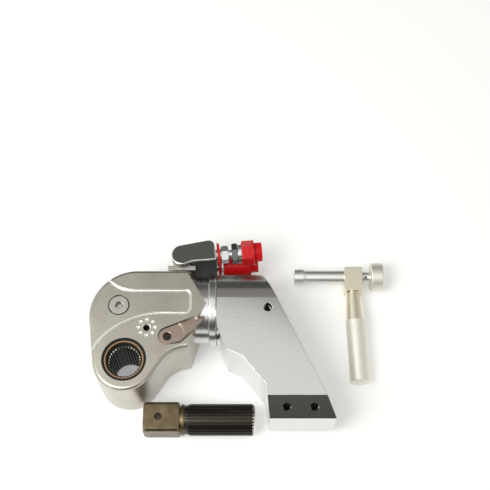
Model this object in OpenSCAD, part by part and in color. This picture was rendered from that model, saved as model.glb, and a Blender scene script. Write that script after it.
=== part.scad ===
// Hydraulic torque wrench, lying on its side, with its square drive and its handle taken off and
// laid beside it. The origin is on the drive axis, half way through the head. +Z runs along the
// drive axis, +X along the cylinder to the reaction arm, +Y from the drive to the cylinder.

/* [Head] */
// Thickness of the head across its two flat sides
head_w = 94; // [92:1:104]
// Radius of the nose around the drive
nose_r = 39.5; // [39:0.5:43]
// Radius of the rounded crown at the back of the head
crown_r = 60; // [57:1:64]
// Crown centre, along the cylinder
crown_x = 13; // [11:0.5:16]
// Crown centre, across the cylinder
crown_y = 59.6; // [57:0.2:62]
// Radius of the hollow flank between nose and neck
flank_r = 41; // [38:1:44]
// Centre of the hollow flank, along the cylinder
flank_x = 80; // [78:0.5:83]
// Centre of the hollow flank, across the cylinder
flank_y = -25; // [-28:0.5:-22]
// Where the flat side ends at the top
brow_x = 74; // [70:0.5:78]
// Point of the flat side, along the cylinder
tip_x = 100; // [96:0.5:102]
// Point of the flat side, across the cylinder
tip_y = 75; // [72:0.5:80]
// Heel of the flat side above the release lever
heel = [91.5, 58];
// Width of the groove that runs round the side panel
groove_w = 4; // [3:0.2:5]
// Depth of that groove
groove_d = 1.6; // [1:0.1:2.5]

/* [Cylinder] */
// Height of the cylinder axis over the drive axis
cyl_y = 81.5; // [80:0.5:84]
// Radius of the neck behind the head
neck_r = 43.5; // [42:0.5:45]
// Where the neck ends and the stop collar starts
neck_end = 103; // [102:0.5:106]
// Length of the stop collar
collar_len = 10.4; // [8:0.2:12]
// How far the stop collar and the arm stand back from the flat sides
collar_back = 0.2; // [0.1:0.1:1]
// Length of the splined barrel behind the collar
barrel_len = 52.6; // [50:0.2:56]
// Tip radius of the barrel spline
barrel_tip_r = 38.8; // [38.2:0.2:40]
// Number of barrel spline teeth
barrel_teeth = 36; // [30:1:42]
// Radius of the piston bore
bore_r = 29; // [27:0.5:30]
// Radius of the piston rod
rod_r = 14; // [12:0.5:15]
// Length of the piston
piston_len = 22; // [18:1:24]

/* [Drive] */
// Number of ratchet teeth
ratchet_teeth = 36; // [30:1:40]
// Tip radius of the ratchet
ratchet_tip_r = 33; // [32:0.5:33.5]
// Width of the ratchet
ratchet_w = 32; // [28:1:34]
// Outer radius of the drive sleeve
sleeve_r = 22.4; // [22:0.1:23]
// Spline tip radius of the square drive
drive_spline_r = 20; // [19.5:0.1:20.2]
// Number of drive spline teeth
drive_teeth = 30; // [24:1:36]
// Size of the drive square
drive_square = 38.1; // [34:0.1:38.1]
// Distance of the link pin from the drive axis
link_r = 76; // [75:0.5:78]
// Angle of the drive lever before its stroke
lever_rest = 16.6; // [15:0.2:18]
// Radius of the link pin
link_pin_r = 7; // [6:0.2:7.6]

/* [Release] */
// Pivot of the reaction pawl and the release lever
pivot = [52.6, 30.5];
// Radius of the pivot shaft
pivot_r = 5; // [4:0.2:5.6]
// Radius of the release lever around its pivot
lever_r = 10.5; // [9.5:0.2:11.5]

/* [Swivel] */
// Swivel axis, along the cylinder
swivel_x = 67.5; // [66:0.5:69]
// Height of the manifold pivot over the drive axis
swivel_y = 145.3; // [145:0.1:150]
// Radius of the manifold around its pivot
manifold_r = 14; // [13:0.5:14.4]
// Thickness of the manifold
manifold_w = 76; // [74:1:82]
// Length of the manifold from pivot to coupler face
manifold_len = 43.8; // [42:0.2:48]
// Distance between the two couplers
coupler_pitch = 38; // [36:0.5:40]
// Radius of the dust caps
cap_r = 17; // [16:0.2:17.4]

/* [Reaction arm] */
// Top of the arm's slanted back face, along the cylinder
arm_top_x = 168; // [167:1:172]
// Length of the arm's foot below the drive axis
foot_y = 70.3; // [68:0.5:76]
// Far corner of the foot, along the cylinder
foot_x = 262.3; // [258:0.5:268]
// Near corner of the foot, along the cylinder
foot_near_x = 180; // [178:0.5:184]
// Height of the foot's bevel
bevel_h = 25; // [20:0.5:28]
// Depth of the foot's bevel
bevel_d = 17.5; // [14:0.5:20]
// Distance between the tapped holes of the foot
foot_pitch = 34; // [30:0.5:38]
// Radius of the tapped holes of the foot
foot_hole_r = 4.6; // [3:0.1:5]

/* [Handle] */
// Radius of the handle tube
tube_r = 9.5; // [9:0.1:10.5]
// Radius of the index collar at the tube's end
index_r = 11.5; // [11:0.1:13]
// Radius of the knob
knob_r = 19; // [18:0.5:21]
// Radius of the grip
grip_r = 13.25; // [12.5:0.25:14]
// Length of the grip below the block
grip_len = 124; // [115:1:135]
// Sideways lean of the grip as it lies
grip_lean = 2; // [0:0.5:4]

/* [Hidden] */
$fn = 96;

half_w = head_w / 2;
floor_z = -half_w;
fit = 0.05;
slip = 0.02;
air = 0.3;
top_y = crown_y + crown_r;
crown = [crown_x, crown_y];
flank = [flank_x, flank_y];
corner = [flank_x - 2, flank_y + flank_r];

// Unit vector at an angle
function dir(a) = [cos(a), sin(a)];

// Outward normals of the straight stretches that touch nose and crown, and nose and flank
left_n = atan2(crown_y, crown_x) + acos((nose_r - crown_r) / norm(crown));
flank_n = atan2(flank_y, flank_x) - acos((nose_r + flank_r) / norm(flank));

// Mechanism chamber inside the head
chamber_half_w = 26;
chamber_r = ratchet_tip_r + 1.6;
chamber_right = 58;
pawl_room_y = 18.5;
chamber_top = cyl_y + rod_r + 1.5;
ledge_x = -24;
ledge_y = chamber_top - 10.5;
shroud_t = 4.5;
shroud_low = -30;
shroud_seat_x = -30;
far = 80;

// Cylinder lay-out along X
collar_r = half_w - collar_back;
gland_start = 64;
gland_end = 78;
gland_r = 22;
collar_end = neck_end + collar_len;
barrel_end = collar_end + barrel_len;
collar_seat_r = collar_r - 6.3;
barrel_root_r = barrel_tip_r - 2.4;
cap_len = 20;
cap_start = barrel_end - cap_len;
cap_bore_r = bore_r + 2;
nut_len = 8;
nut_pocket_r = 16;
nut_flats = 24;
spigot_r = 9;
piston_back = cap_start - 2;
piston_front = piston_back - piston_len;

// Drive lay-out
plate_t = 9;
plate_in = ratchet_w / 2 + 0.6;
plate_out = plate_in + plate_t;
ring_r = 30;
link_eye_r = 12.5;
link_pin = [link_r * sin(lever_rest), link_r * cos(lever_rest)];
rod_end_half_w = ratchet_w / 2 - 1;
rod_end_low = 62;
rod_end_back = link_pin[0] + 22;
pawl_half_w = ratchet_w / 2 - 0.2;
pawl_gap = 0.45;
drive_pawl_at = [-6, 50];
drive_pawl_r = 8;
drive_pawl_half_w = 11.5;
drive_pawl_pin_r = 4;
drive_nose_a = 125;
stop_nose_a = 55;
bush_r = 25.5;
bush_end = half_w - 1.5;
sleeve_half = half_w - 5;
pilot_len = 5;
pilot_r = sleeve_r - 1.4;
seal_r = 27.8;
seal_seat = 3;
key_w = 6;
key_h = 3;

// Side-face features
plug_at = [-9.7, 71.6];
plug_r = 13;
plug_len = 12;
plug_hex = 8.6;
socket_at = [26.3, 41.5];
socket_r = 4.25;
socket_len = 16;
dimple_ring = 10.4;
dimple_r = 2.3;
dimple_up = 1;
lever_floor = half_w - 7;
lever_hub_top = half_w - 1.6;
lever_top = half_w - 0.4;
lever_step_r = 22.5;
lever_up_a = 21.3;
tongue_root = [67.5, 47.8];
tongue_end = [96, 54.2];
tongue_gap = 8;

// Swivel lay-out
seat_r = 17;
seat_y = max(cyl_y + neck_r, top_y) + 1.5;
stem_r = 9;
stem_low = seat_y - 12;
flange_half = 18;
flange_t = 6.5;
eye_half_w = 30;
swivel_pin_r = 8;
coupler_x = swivel_x + manifold_len;
coupler_y = swivel_y + 7;
coupler_rise = 5;
port_r = 8.5;
port_len = 13;

// Couplers and caps, lengths from the manifold's face
root_len = 7;
root_r = 8.4;
upper_nut_end = 16.6;
upper_nut_flats = 20;
upper_neck_end = 21;
upper_neck_r = 6.5;
upper_body_end = 29;
upper_body_flats = 24;
upper_collar_end = 36;
upper_collar_r = 13.2;
upper_tip_end = 47;
upper_tip_r = 10.8;
lower_nut_end = 18;
lower_nut_flats = 22;
lower_neck_end = 22;
lower_neck_r = 10.5;
lower_sleeve_end = 41;
lower_sleeve_r = 15;
lower_socket_len = 15;
lower_socket_r = 9;
cap_lap = 2;
cap_turn = -7;
cap_flats = cap_r * 2 * cos(30) - 1;
cap_wall = 2.6;
upper_cap_start = upper_collar_end - cap_lap;
upper_cap_step = upper_tip_end + cap_wall + 1;
upper_cap_end = 61;
upper_cap_r = 12.6;
lower_cap_start = 9;
lower_cap_step = 46;
lower_cap_end = 56;
lower_cap_r = 12;
lower_cap_cup_r = 8;
lower_cap_cup_len = 4;
stopper_len = 10;
ring_start = 2.4;
ring_len = 2.8;
ring_out_r = 16;
ring_in_r = 9.2;
ring_tilt = 2;

// Reaction arm lay-out
arm_start = collar_end + 0.2;
arm_low_x = 177;
hub_curve_r = 100;
hub_curve_at = [arm_start + 99.6, 65];
arm_hole_at = [178.7, 68.8];
arm_hole_r = 5.25;
bevel_mid = [-(foot_y - bevel_h / 2), collar_r - bevel_d / 2];
bevel_a = atan2(bevel_d, bevel_h);
foot_hole_x = 217.7;
foot_hole_len = 15;

// Handle and square drive where they lie
tube_y = 140.6;
tube_z = floor_z + knob_r;
index_x = 216.8;
index_len = 14.5;
block_x = 284;
block_len = 24;
block_h = 33.4;
block_drop = 5.7;
block_w = 25;
tube_bore_r = 5.1;
knob_neck_r = 7.5;
knob_neck_len = 11;
knob_len = 17.5;
knob_seat = 7;
knob_pin_r = 5;
knob_pin_turn = 24;
grip_low = block_h / 2 + block_drop;
grip_dip = asin((knob_r - grip_r) / (grip_low + grip_len));
grip_taper = 39.7;
drive_y = -57;
drive_z = floor_z + drive_spline_r;
drive_x = 21;
drive_square_len = 46;
drive_hole_r = 4;
drive_hole_x = 40;
drive_neck_len = 12;
drive_len = 141.5;
drive_end_cut = 4;

silver = [0.74, 0.74, 0.72];
steel = [0.55, 0.56, 0.57];
dark_steel = [0.16, 0.15, 0.14];
bronze = [0.62, 0.44, 0.24];
rubber = [0.05, 0.05, 0.05];
red = [0.78, 0.08, 0.09];

// Round bar along X
module x_bar(x0, x1, r, y = cyl_y, z = 0) {
    translate([x0, y, z]) rotate([0, 90, 0]) cylinder(h = x1 - x0, r = r);
}

// Tapered bar along X
module x_cone(x0, x1, r0, r1, y = cyl_y, z = 0) {
    translate([x0, y, z]) rotate([0, 90, 0]) cylinder(h = x1 - x0, r1 = r0, r2 = r1);
}

// Round bar along Y
module y_bar(y0, y1, r, x, z = 0) {
    translate([x, y0, z]) rotate([-90, 0, 0]) cylinder(h = y1 - y0, r = r);
}

// Round bar along Z
module z_bar(z0, z1, r, at = [0, 0]) {
    translate([at[0], at[1], z0]) cylinder(h = z1 - z0, r = r);
}

// Flat shape raised between two heights
module plate(z0, z1) {
    translate([0, 0, z0]) linear_extrude(z1 - z0) children();
}

// Flat shape pushed along X, its own x to Y and y to Z
module x_run(x0, x1, y = cyl_y, z = 0) {
    translate([x0, y, z]) rotate([90, 0, 90]) linear_extrude(x1 - x0) children();
}

// Flat rectangle between two corners
module box2(x0, y0, x1, y1) {
    translate([x0, y0]) square([x1 - x0, y1 - y0]);
}

// Toothed round profile with straight flanks
module spline(n, root_r, tip_r, grow = 0) {
    pitch = 360 / n;
    at_root = 0.26 * pitch + grow / root_r * 180 / PI;
    at_tip = 0.16 * pitch + grow / tip_r * 180 / PI;
    polygon([for (i = [0 : n - 1], k = [0 : 3])
        (k == 0 || k == 3 ? root_r + grow : tip_r + grow)
        * dir(i * pitch + [-at_root, -at_tip, at_tip, at_root][k])]);
}

// Saw-toothed ratchet profile
module ratchet_profile() {
    pitch = 360 / ratchet_teeth;
    root_r = ratchet_tip_r - 3.5;
    polygon([for (i = [0 : ratchet_teeth - 1], k = [0 : 2])
        [root_r, ratchet_tip_r, ratchet_tip_r][k] * dir(i * pitch + [0, 0.12, 0.3][k] * pitch)]);
}

// Two circles joined by their common tangents
module link2(r0, at1, r1) {
    a = atan2(at1[1], at1[0]);
    t = acos((r0 - r1) / norm(at1));
    circle(r = r0);
    translate(at1) circle(r = r1);
    polygon([r0 * dir(a + t), r0 * dir(a - t), at1 + r1 * dir(a - t), at1 + r1 * dir(a + t)]);
}

// Nose, crown and the straight back between them
module head_back() {
    circle(r = nose_r);
    translate(crown) circle(r = crown_r);
    polygon([[0, 0], nose_r * dir(left_n), crown + crown_r * dir(left_n), crown]);
}

// Outline of the flat sides
module head_outline() {
    nose_end = nose_r * dir(flank_n);
    flank_start = flank - flank_r * dir(flank_n);
    head_back();
    difference() {
        polygon([[0, 0], nose_end, flank_start, [corner[0], flank_start[1]], corner, heel,
                 [tip_x, tip_y], [brow_x, top_y], [crown_x, top_y]]);
        translate(flank) circle(r = flank_r);
    }
}

// Groove that outlines the side panel and runs out over the back of the head
module groove() {
    upper_y = 91;
    lower_y = 60.8;
    right_x = 80.5;
    corner_r = 6;
    upper_bend_x = 8;
    upper_bend_r = 44;
    lower_bend_x = 43;
    lower_bend_r = 97;
    half = groove_w / 2;
    box2(upper_bend_x, upper_y - half, right_x - corner_r, upper_y + half);
    box2(lower_bend_x, lower_y - half, right_x - corner_r, lower_y + half);
    box2(right_x - half, lower_y + corner_r, right_x + half, upper_y - corner_r);
    translate([right_x - corner_r, upper_y - corner_r]) corner_ring(corner_r, 0);
    translate([right_x - corner_r, lower_y + corner_r]) corner_ring(corner_r, -90);
    translate([upper_bend_x, upper_y + upper_bend_r]) corner_ring(upper_bend_r, 180);
    translate([lower_bend_x, lower_y - lower_bend_r]) corner_ring(lower_bend_r, 90);
}

// Quarter of a groove ring, starting at angle a
module corner_ring(r, a) {
    rotate(a) intersection() {
        difference() {
            circle(r = r + groove_w / 2);
            circle(r = r - groove_w / 2);
        }
        square(r + groove_w);
    }
}

// Release lever seen from above, grown by g
module lever_outline(g = 0) {
    up = dir(lever_up_a + 90);
    translate(pivot) circle(r = lever_r + g);
    polygon([pivot, pivot + (lever_r + g) * up, [87 - g, 55.6 + g], [98.4 + g, 53.6 + g / 2],
             [88.5 + g, 43.5 - g], [75.4 + g, 30.5 - g], [69 + g, 24 - g],
             pivot + (lever_r + g) * dir(-80)]);
}

// Openings inside the head
module chamber() {
    circle(r = chamber_r);
    box2(ledge_x, 0, chamber_r, chamber_top);
    box2(ledge_x, pawl_room_y, chamber_right, chamber_top);
    box2(-far, shroud_low, -10, ledge_y);
    box2(-far, ledge_y, shroud_seat_x, chamber_top);
    translate(pivot) circle(r = 11.5);
}

module housing() {
    color(silver) difference() {
        union() {
            plate(-half_w, half_w) head_outline();
            x_bar(60, neck_end, neck_r);
            x_bar(neck_end, collar_end, collar_seat_r);
            x_run(collar_end, barrel_end) spline(barrel_teeth, barrel_root_r, barrel_tip_r);
            y_bar(top_y - 20, seat_y, seat_r, swivel_x);
        }
        plate(-chamber_half_w, chamber_half_w) chamber();
        x_bar(chamber_right - 1, gland_start + 1, rod_r + 1);
        x_bar(gland_start, gland_end + 1, gland_r);
        x_bar(gland_end, cap_start + 1, bore_r);
        x_bar(cap_start, barrel_end + 1, cap_bore_r);
        z_bar(-half_w - 1, half_w + 1, bush_r);
        for (side = [0, 1]) mirror([0, 0, side]) {
            z_bar(half_w - seal_seat, half_w + 1, seal_r);
            plate(half_w - groove_d, half_w + 1) groove();
        }
        z_bar(half_w - plug_len, half_w + 1, plug_r, plug_at);
        z_bar(chamber_half_w - 1, half_w, plug_r - 4, plug_at);
        z_bar(half_w - socket_len, half_w + 1, socket_r, socket_at);
        translate([socket_at[0], socket_at[1], half_w - 1])
            cylinder(h = 1.01, r1 = socket_r, r2 = socket_r + 1);
        for (i = [0 : 7])
            translate(concat(socket_at + dimple_ring * dir(45 * i), half_w + dimple_up))
                sphere(r = dimple_r);
        plate(lever_floor, half_w + 1) lever_room();
        z_bar(-half_w + 8, half_w, pivot_r + fit, pivot);
        y_bar(stem_low - 1, seat_y + 1, stem_r + fit, swivel_x);
        for (side = [-1, 1]) x_bar(shroud_seat_x - 1, ledge_x + 1, 2.5, shroud_screw_y(), side * 14);
    }
}

// Height of the shroud screws
function shroud_screw_y() = (ledge_y + chamber_top) / 2;

// Recess for the release lever, with room for its swing
module lever_room() {
    lever_outline(1);
    translate(pivot) rotate(-7) translate(-pivot) lever_outline(1);
}

// Points of the back of the head from the nose up to the crown, drawn in by d
function back_line(d) = concat(
    [for (i = [12 : -1 : 0]) (nose_r - d) * dir(left_n + 6 * i)],
    [for (i = [0 : 20]) crown + (crown_r - d) * dir(left_n - 4 * i)]);

// Wall that follows the back of the head
module shroud_wall() {
    inner = back_line(shroud_t);
    intersection() {
        polygon(concat(back_line(0), [for (i = [len(inner) - 1 : -1 : 0]) inner[i]]));
        box2(-far, shroud_low + 0.1, 0, chamber_top - 0.1);
    }
}

// Thick top end of the shroud, which the screws pass through
module shroud_lug() {
    right = shroud_seat_x - 0.1;
    low = ledge_y + 0.1;
    high = chamber_top - 0.1;
    polygon([[right - 8, low], [right, low], [right, high], [right - 2, high]]);
}

module rear_shroud() {
    half = chamber_half_w - air;
    color(silver) difference() {
        union() {
            plate(-half, half) shroud_wall();
            plate(-half, half) shroud_lug();
        }
        plate(-half - 1, half + 1) box2(shroud_seat_x - 0.1, ledge_y - 2, 0, chamber_top);
        for (side = [-1, 1]) {
            x_bar(-far, shroud_seat_x + 1, 2.5 + slip, shroud_screw_y(), side * 14);
            x_bar(-far, shroud_seat_x - 3.4, 4.3, shroud_screw_y(), side * 14);
        }
    }
}

module shroud_screws() {
    color(dark_steel) for (side = [-1, 1]) difference() {
        union() {
            x_bar(shroud_seat_x - 3.4, ledge_x - 1, 2.5 - slip, shroud_screw_y(), side * 14);
            x_bar(shroud_seat_x - 6.4, shroud_seat_x - 3.4, 4.2, shroud_screw_y(), side * 14);
        }
        translate([shroud_seat_x - 7, shroud_screw_y(), side * 14])
            rotate([0, 90, 0]) cylinder(h = 2.6, r = 1.7, $fn = 6);
    }
}

module stop_collar() {
    color(silver) difference() {
        x_bar(neck_end, collar_end, collar_r);
        x_bar(neck_end - 1, collar_end + 1, collar_seat_r + slip);
    }
}

// Bronze bush that carries one end of the drive sleeve
module hub_bush() {
    color(bronze) difference() {
        z_bar(chamber_half_w + 0.2, bush_end, bush_r - slip);
        z_bar(0, half_w + 1, sleeve_r + fit);
    }
}

module hub_bush_upper() { hub_bush(); }
module hub_bush_lower() { mirror([0, 0, 1]) hub_bush(); }

// Rubber wiper ring in the face of the head
module hub_seal() {
    color(rubber) difference() {
        z_bar(half_w - seal_seat, half_w - 0.8, seal_r - slip);
        z_bar(0, half_w + 1, bush_r + slip);
    }
}

module hub_seal_upper() { hub_seal(); }
module hub_seal_lower() { mirror([0, 0, 1]) hub_seal(); }

module access_plug() {
    color(silver) difference() {
        z_bar(half_w - plug_len, half_w - 0.1, plug_r - slip, plug_at);
        translate([plug_at[0], plug_at[1], half_w - 6])
            cylinder(h = 7, r = plug_hex / 2 / cos(30), $fn = 6);
    }
}

module rod_gland() {
    color(bronze) difference() {
        x_bar(gland_start, gland_end, gland_r - slip);
        x_bar(gland_start - 1, gland_end + 1, rod_r + fit);
        x_bar(gland_start + 5, gland_start + 9, rod_r + 3);
    }
}

module rod_seal() {
    color(rubber) difference() {
        x_bar(gland_start + 5 + slip, gland_start + 9 - slip, rod_r + 3 - slip);
        x_bar(gland_start, gland_end, rod_r + fit);
    }
}

module end_cap() {
    color(steel) difference() {
        x_bar(cap_start, barrel_end, cap_bore_r - slip);
        x_bar(cap_start - 1, cap_start + nut_len + 1, nut_pocket_r);
        difference() {
            x_bar(cap_start + 3, cap_start + 6, far);
            x_bar(cap_start + 2, cap_start + 7, cap_bore_r - 2.5);
        }
        for (side = [-1, 1])
            x_bar(barrel_end - 6, barrel_end + 1, 3, cyl_y + side * 18);
    }
}

module end_cap_seal() {
    color(rubber) difference() {
        x_bar(cap_start + 3 + slip, cap_start + 6 - slip, cap_bore_r - slip);
        x_bar(cap_start + 2, cap_start + 7, cap_bore_r - 2.5 + slip);
    }
}

module piston() {
    color(steel) difference() {
        x_bar(piston_front, piston_back, bore_r - fit);
        x_bar(piston_front - 1, piston_back + 1, spigot_r + slip);
        difference() {
            x_bar(piston_front + 8, piston_back - 8, far);
            x_bar(piston_front + 7, piston_back - 7, bore_r - 5);
        }
    }
}

module piston_seal() {
    color(rubber) difference() {
        x_bar(piston_front + 8 + slip, piston_back - 8 - slip, bore_r - fit);
        x_bar(piston_front + 7, piston_back - 7, bore_r - 5 + slip);
    }
}

module piston_nut() {
    color(steel) difference() {
        translate([piston_back, cyl_y, 0]) rotate([0, 90, 0])
            cylinder(h = nut_len, r = nut_flats / 2 / cos(30), $fn = 6);
        x_bar(piston_back - 1, piston_back + nut_len + 1, spigot_r + slip);
    }
}

module piston_rod() {
    slot_low = link_r * cos(lever_rest);
    color(steel) difference() {
        union() {
            x_bar(rod_end_back - 2, piston_front, rod_r);
            x_bar(piston_front, piston_back + nut_len, spigot_r);
            plate(-rod_end_half_w, rod_end_half_w)
                box2(link_pin[0] - link_eye_r, rod_end_low, rod_end_back, cyl_y + rod_r - 1);
        }
        plate(-far, far) translate([link_pin[0], 0]) {
            box2(-link_pin_r - 0.4, slot_low, link_pin_r + 0.4, link_r);
            for (y = [slot_low, link_r]) translate([0, y]) circle(r = link_pin_r + 0.4);
        }
    }
}

// One of the two plates that swing about the drive sleeve
module drive_plate() {
    color(steel) rotate(-lever_rest) plate(plate_in, plate_out) difference() {
        link2(ring_r, [0, link_r], link_eye_r);
        circle(r = sleeve_r + 0.1);
        translate([0, link_r]) circle(r = link_pin_r + slip);
        translate(drive_pawl_at) circle(r = drive_pawl_pin_r + slip);
    }
}

module drive_plate_upper() { drive_plate(); }
module drive_plate_lower() { mirror([0, 0, 1]) drive_plate(); }

module link_pin() {
    color(steel) z_bar(-plate_out, plate_out, link_pin_r, link_pin);
}

module drive_pawl_pin() {
    color(steel) rotate(-lever_rest) z_bar(-plate_out, plate_out, drive_pawl_pin_r, drive_pawl_at);
}

module drive_pawl() {
    nose = (ratchet_tip_r + pawl_gap) * dir(drive_nose_a);
    color(dark_steel) rotate(-lever_rest) plate(-drive_pawl_half_w, drive_pawl_half_w) difference() {
        union() {
            translate(drive_pawl_at) circle(r = drive_pawl_r);
            polygon([nose, drive_pawl_at + drive_pawl_r * dir(-40), drive_pawl_at,
                     drive_pawl_at + drive_pawl_r * dir(170), nose + 5 * dir(drive_nose_a)]);
        }
        translate(drive_pawl_at) circle(r = drive_pawl_pin_r + fit);
    }
}

// Coiled torsion spring around a pin, as a ribbed sleeve
module coil(r, z0, z1, wire_r, at) {
    turns = ceil((z1 - z0) / wire_r / 1.7);
    pitch = (z1 - z0 - 2 * wire_r) / (turns - 1);
    translate([at[0], at[1], z0 + wire_r]) rotate_extrude() for (i = [0 : turns - 1])
        translate([r, i * pitch]) circle(r = wire_r, $fn = 24);
}

module drive_pawl_springs() {
    color(dark_steel) rotate(-lever_rest) for (side = [0, 1]) mirror([0, 0, side])
        coil(drive_pawl_pin_r + 1.5, drive_pawl_half_w + 0.2, plate_in - 0.2, 1.1, drive_pawl_at);
}

module ratchet_wheel() {
    color(dark_steel) plate(-ratchet_w / 2, ratchet_w / 2) difference() {
        ratchet_profile();
        circle(r = sleeve_r + slip);
        for (side = [-1, 1])
            box2(side * sleeve_r - key_h / 2, -key_w / 2, side * sleeve_r + key_h / 2, key_w / 2);
    }
}

module drive_sleeve() {
    pilot_at = sleeve_half - pilot_len;
    color(dark_steel) difference() {
        z_bar(-sleeve_half, sleeve_half, sleeve_r);
        plate(-half_w, half_w) spline(drive_teeth, drive_spline_r - 1.8, drive_spline_r, 0.3);
        for (side = [0, 1]) mirror([0, 0, side]) z_bar(pilot_at, half_w, pilot_r);
        plate(-ratchet_w / 2, ratchet_w / 2) for (side = [-1, 1])
            box2(side * sleeve_r - key_h / 2, -key_w / 2, side * sleeve_r + key_h / 2, key_w / 2);
    }
}

module ratchet_keys() {
    half = key_w / 2 - slip;
    thick = key_h / 2 - slip;
    color(steel) plate(-ratchet_w / 2, ratchet_w / 2) for (side = [-1, 1])
        box2(side * sleeve_r - thick, -half, side * sleeve_r + thick, half);
}

module reaction_pawl() {
    boss_r = 9;
    nose = (ratchet_tip_r + pawl_gap) * dir(stop_nose_a);
    color(dark_steel) plate(-pawl_half_w, pawl_half_w) difference() {
        union() {
            translate(pivot) circle(r = boss_r);
            polygon([nose, pivot + boss_r * dir(-100), pivot, pivot + boss_r * dir(93),
                     nose + [5, 9.5], nose + [-1.7, 6]]);
        }
        translate(pivot) circle(r = pivot_r + slip);
    }
}

module pivot_shaft() {
    color(dark_steel) z_bar(-half_w + 10, lever_hub_top - 3, pivot_r, pivot);
}

module pawl_spring() {
    color(steel) coil(pivot_r + 2, pawl_half_w + 0.2, chamber_half_w - 0.3, 1.2, pivot);
}

module release_lever() {
    color(silver) difference() {
        union() {
            plate(lever_floor + 0.5, lever_hub_top) lever_outline();
            plate(lever_floor + 0.5, lever_top) difference() {
                lever_outline();
                translate(pivot) circle(r = lever_step_r);
            }
        }
        plate(lever_floor, half_w) polygon([
            tongue_root, tongue_end, tongue_end + [0, tongue_gap], tongue_root + [0, tongue_gap]]);
        z_bar(lever_floor - 1, half_w, pivot_r + slip, pivot);
    }
}

module swivel_base() {
    color(steel) difference() {
        union() {
            y_bar(stem_low, seat_y + 1, stem_r, swivel_x);
            plate(-eye_half_w, eye_half_w)
                box2(swivel_x - flange_half, seat_y + 0.2, swivel_x + flange_half, seat_y + flange_t);
            y_bar(seat_y + 1, swivel_y, 11, swivel_x);
            z_bar(-eye_half_w, eye_half_w, manifold_r - 0.5, [swivel_x, swivel_y]);
        }
        z_bar(-far, far, swivel_pin_r + fit, [swivel_x, swivel_y]);
        difference() {
            y_bar(stem_low + 4, stem_low + 7, far, swivel_x);
            y_bar(stem_low + 3, stem_low + 8, stem_r - 1.6, swivel_x);
        }
    }
}

module swivel_seal() {
    color(rubber) difference() {
        y_bar(stem_low + 4 + slip, stem_low + 7 - slip, stem_r, swivel_x);
        y_bar(stem_low + 3, stem_low + 8, stem_r - 1.6 + slip, swivel_x);
    }
}

// Tag-shaped outline of the manifold, pivot at the origin
module manifold_outline() {
    end_r = 8.5;
    high = 21.2;
    low = -7;
    port = coupler_y - swivel_y;
    lean = tan(coupler_rise);
    shoulder = manifold_len - (high - end_r - port) * lean - end_r / cos(coupler_rise);
    rise = atan2(high - manifold_r, shoulder);
    circle(r = manifold_r);
    polygon([[0, 0], manifold_r * dir(-68), [0.32 * manifold_len, low - 2.5],
             [manifold_len + (port - low) * lean, low],
             [shoulder, high - end_r] + end_r * dir(coupler_rise),
             [shoulder, high], manifold_r * dir(rise + 90)]);
    translate([shoulder, high - end_r]) circle(r = end_r);
}

module swivel_manifold() {
    half = manifold_w / 2;
    color(dark_steel) translate([swivel_x, swivel_y, 0]) difference() {
        plate(-half, half) manifold_outline();
        plate(-eye_half_w - air, eye_half_w + air)
            box2(-far, -far, manifold_r + 2, far);
        z_bar(-half - 1, half - 4, swivel_pin_r + slip);
        for (side = [-1, 1]) translate([-swivel_x, -swivel_y, 0])
            at_coupler(side) c_bar(-port_len, 1, port_r);
    }
}

module swivel_pin() {
    color(steel) difference() {
        z_bar(-manifold_w / 2 + 1, manifold_w / 2 - 4.2, swivel_pin_r, [swivel_x, swivel_y]);
        translate([swivel_x, swivel_y, -manifold_w / 2])
            cylinder(h = 6, r = 3 / cos(30), $fn = 6);
    }
}

// Hexagon along X at a coupler's axis
module x_hex(x0, x1, flats) {
    translate([x0, 0, 0]) rotate([0, 90, 0]) cylinder(h = x1 - x0, r = flats / 2 / cos(30), $fn = 6);
}

// Bar along X at a coupler's axis, which is the line y = z = 0
module c_bar(x0, x1, r) { x_bar(x0, x1, r, 0, 0); }

// Move to a coupler's axis, x measured from the manifold's face
module at_coupler(side) {
    translate([coupler_x, coupler_y, side * coupler_pitch / 2]) rotate([0, 0, coupler_rise]) children();
}

module coupler_upper() {
    color(steel) at_coupler(1) {
        c_bar(-port_len + 0.2, 0, port_r - slip);
        c_bar(0, root_len, root_r);
        x_hex(root_len, upper_nut_end, upper_nut_flats);
        c_bar(upper_nut_end, upper_neck_end, upper_neck_r);
        x_hex(upper_neck_end, upper_body_end, upper_body_flats);
        c_bar(upper_body_end, upper_collar_end, upper_collar_r);
        c_bar(upper_collar_end, upper_tip_end, upper_tip_r);
    }
}

module coupler_lower() {
    color(steel) at_coupler(-1) difference() {
        union() {
            c_bar(-port_len + 0.2, 0, port_r - slip);
            c_bar(0, root_len, root_r);
            x_hex(root_len, lower_nut_end, lower_nut_flats);
            c_bar(lower_nut_end, lower_neck_end, lower_neck_r);
            c_bar(lower_neck_end, lower_sleeve_end, lower_sleeve_r);
        }
        c_bar(lower_sleeve_end - lower_socket_len, lower_sleeve_end + 1, lower_socket_r);
    }
}

// Loop of the dust cap's strap round the coupler
module strap_ring() {
    color(red) rotate([0, 0, ring_tilt]) difference() {
        c_bar(ring_start, ring_start + ring_len, ring_out_r);
        c_bar(ring_start - 1, ring_start + ring_len + 1, ring_in_r);
    }
}

module strap_ring_upper() { at_coupler(1) strap_ring(); }
module strap_ring_lower() { at_coupler(-1) strap_ring(); }

module dust_cap_upper() {
    color(red) at_coupler(1) difference() {
        union() {
            rotate([cap_turn, 0, 0]) x_hex(upper_cap_start, upper_cap_step - 1.6, cap_flats);
            c_bar(upper_cap_step - cap_wall, upper_cap_step, cap_r);
            c_bar(upper_cap_step - 1, upper_cap_end, upper_cap_r);
        }
        c_bar(upper_cap_start - 1, upper_tip_end + 1, upper_collar_r + air);
    }
}

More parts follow.
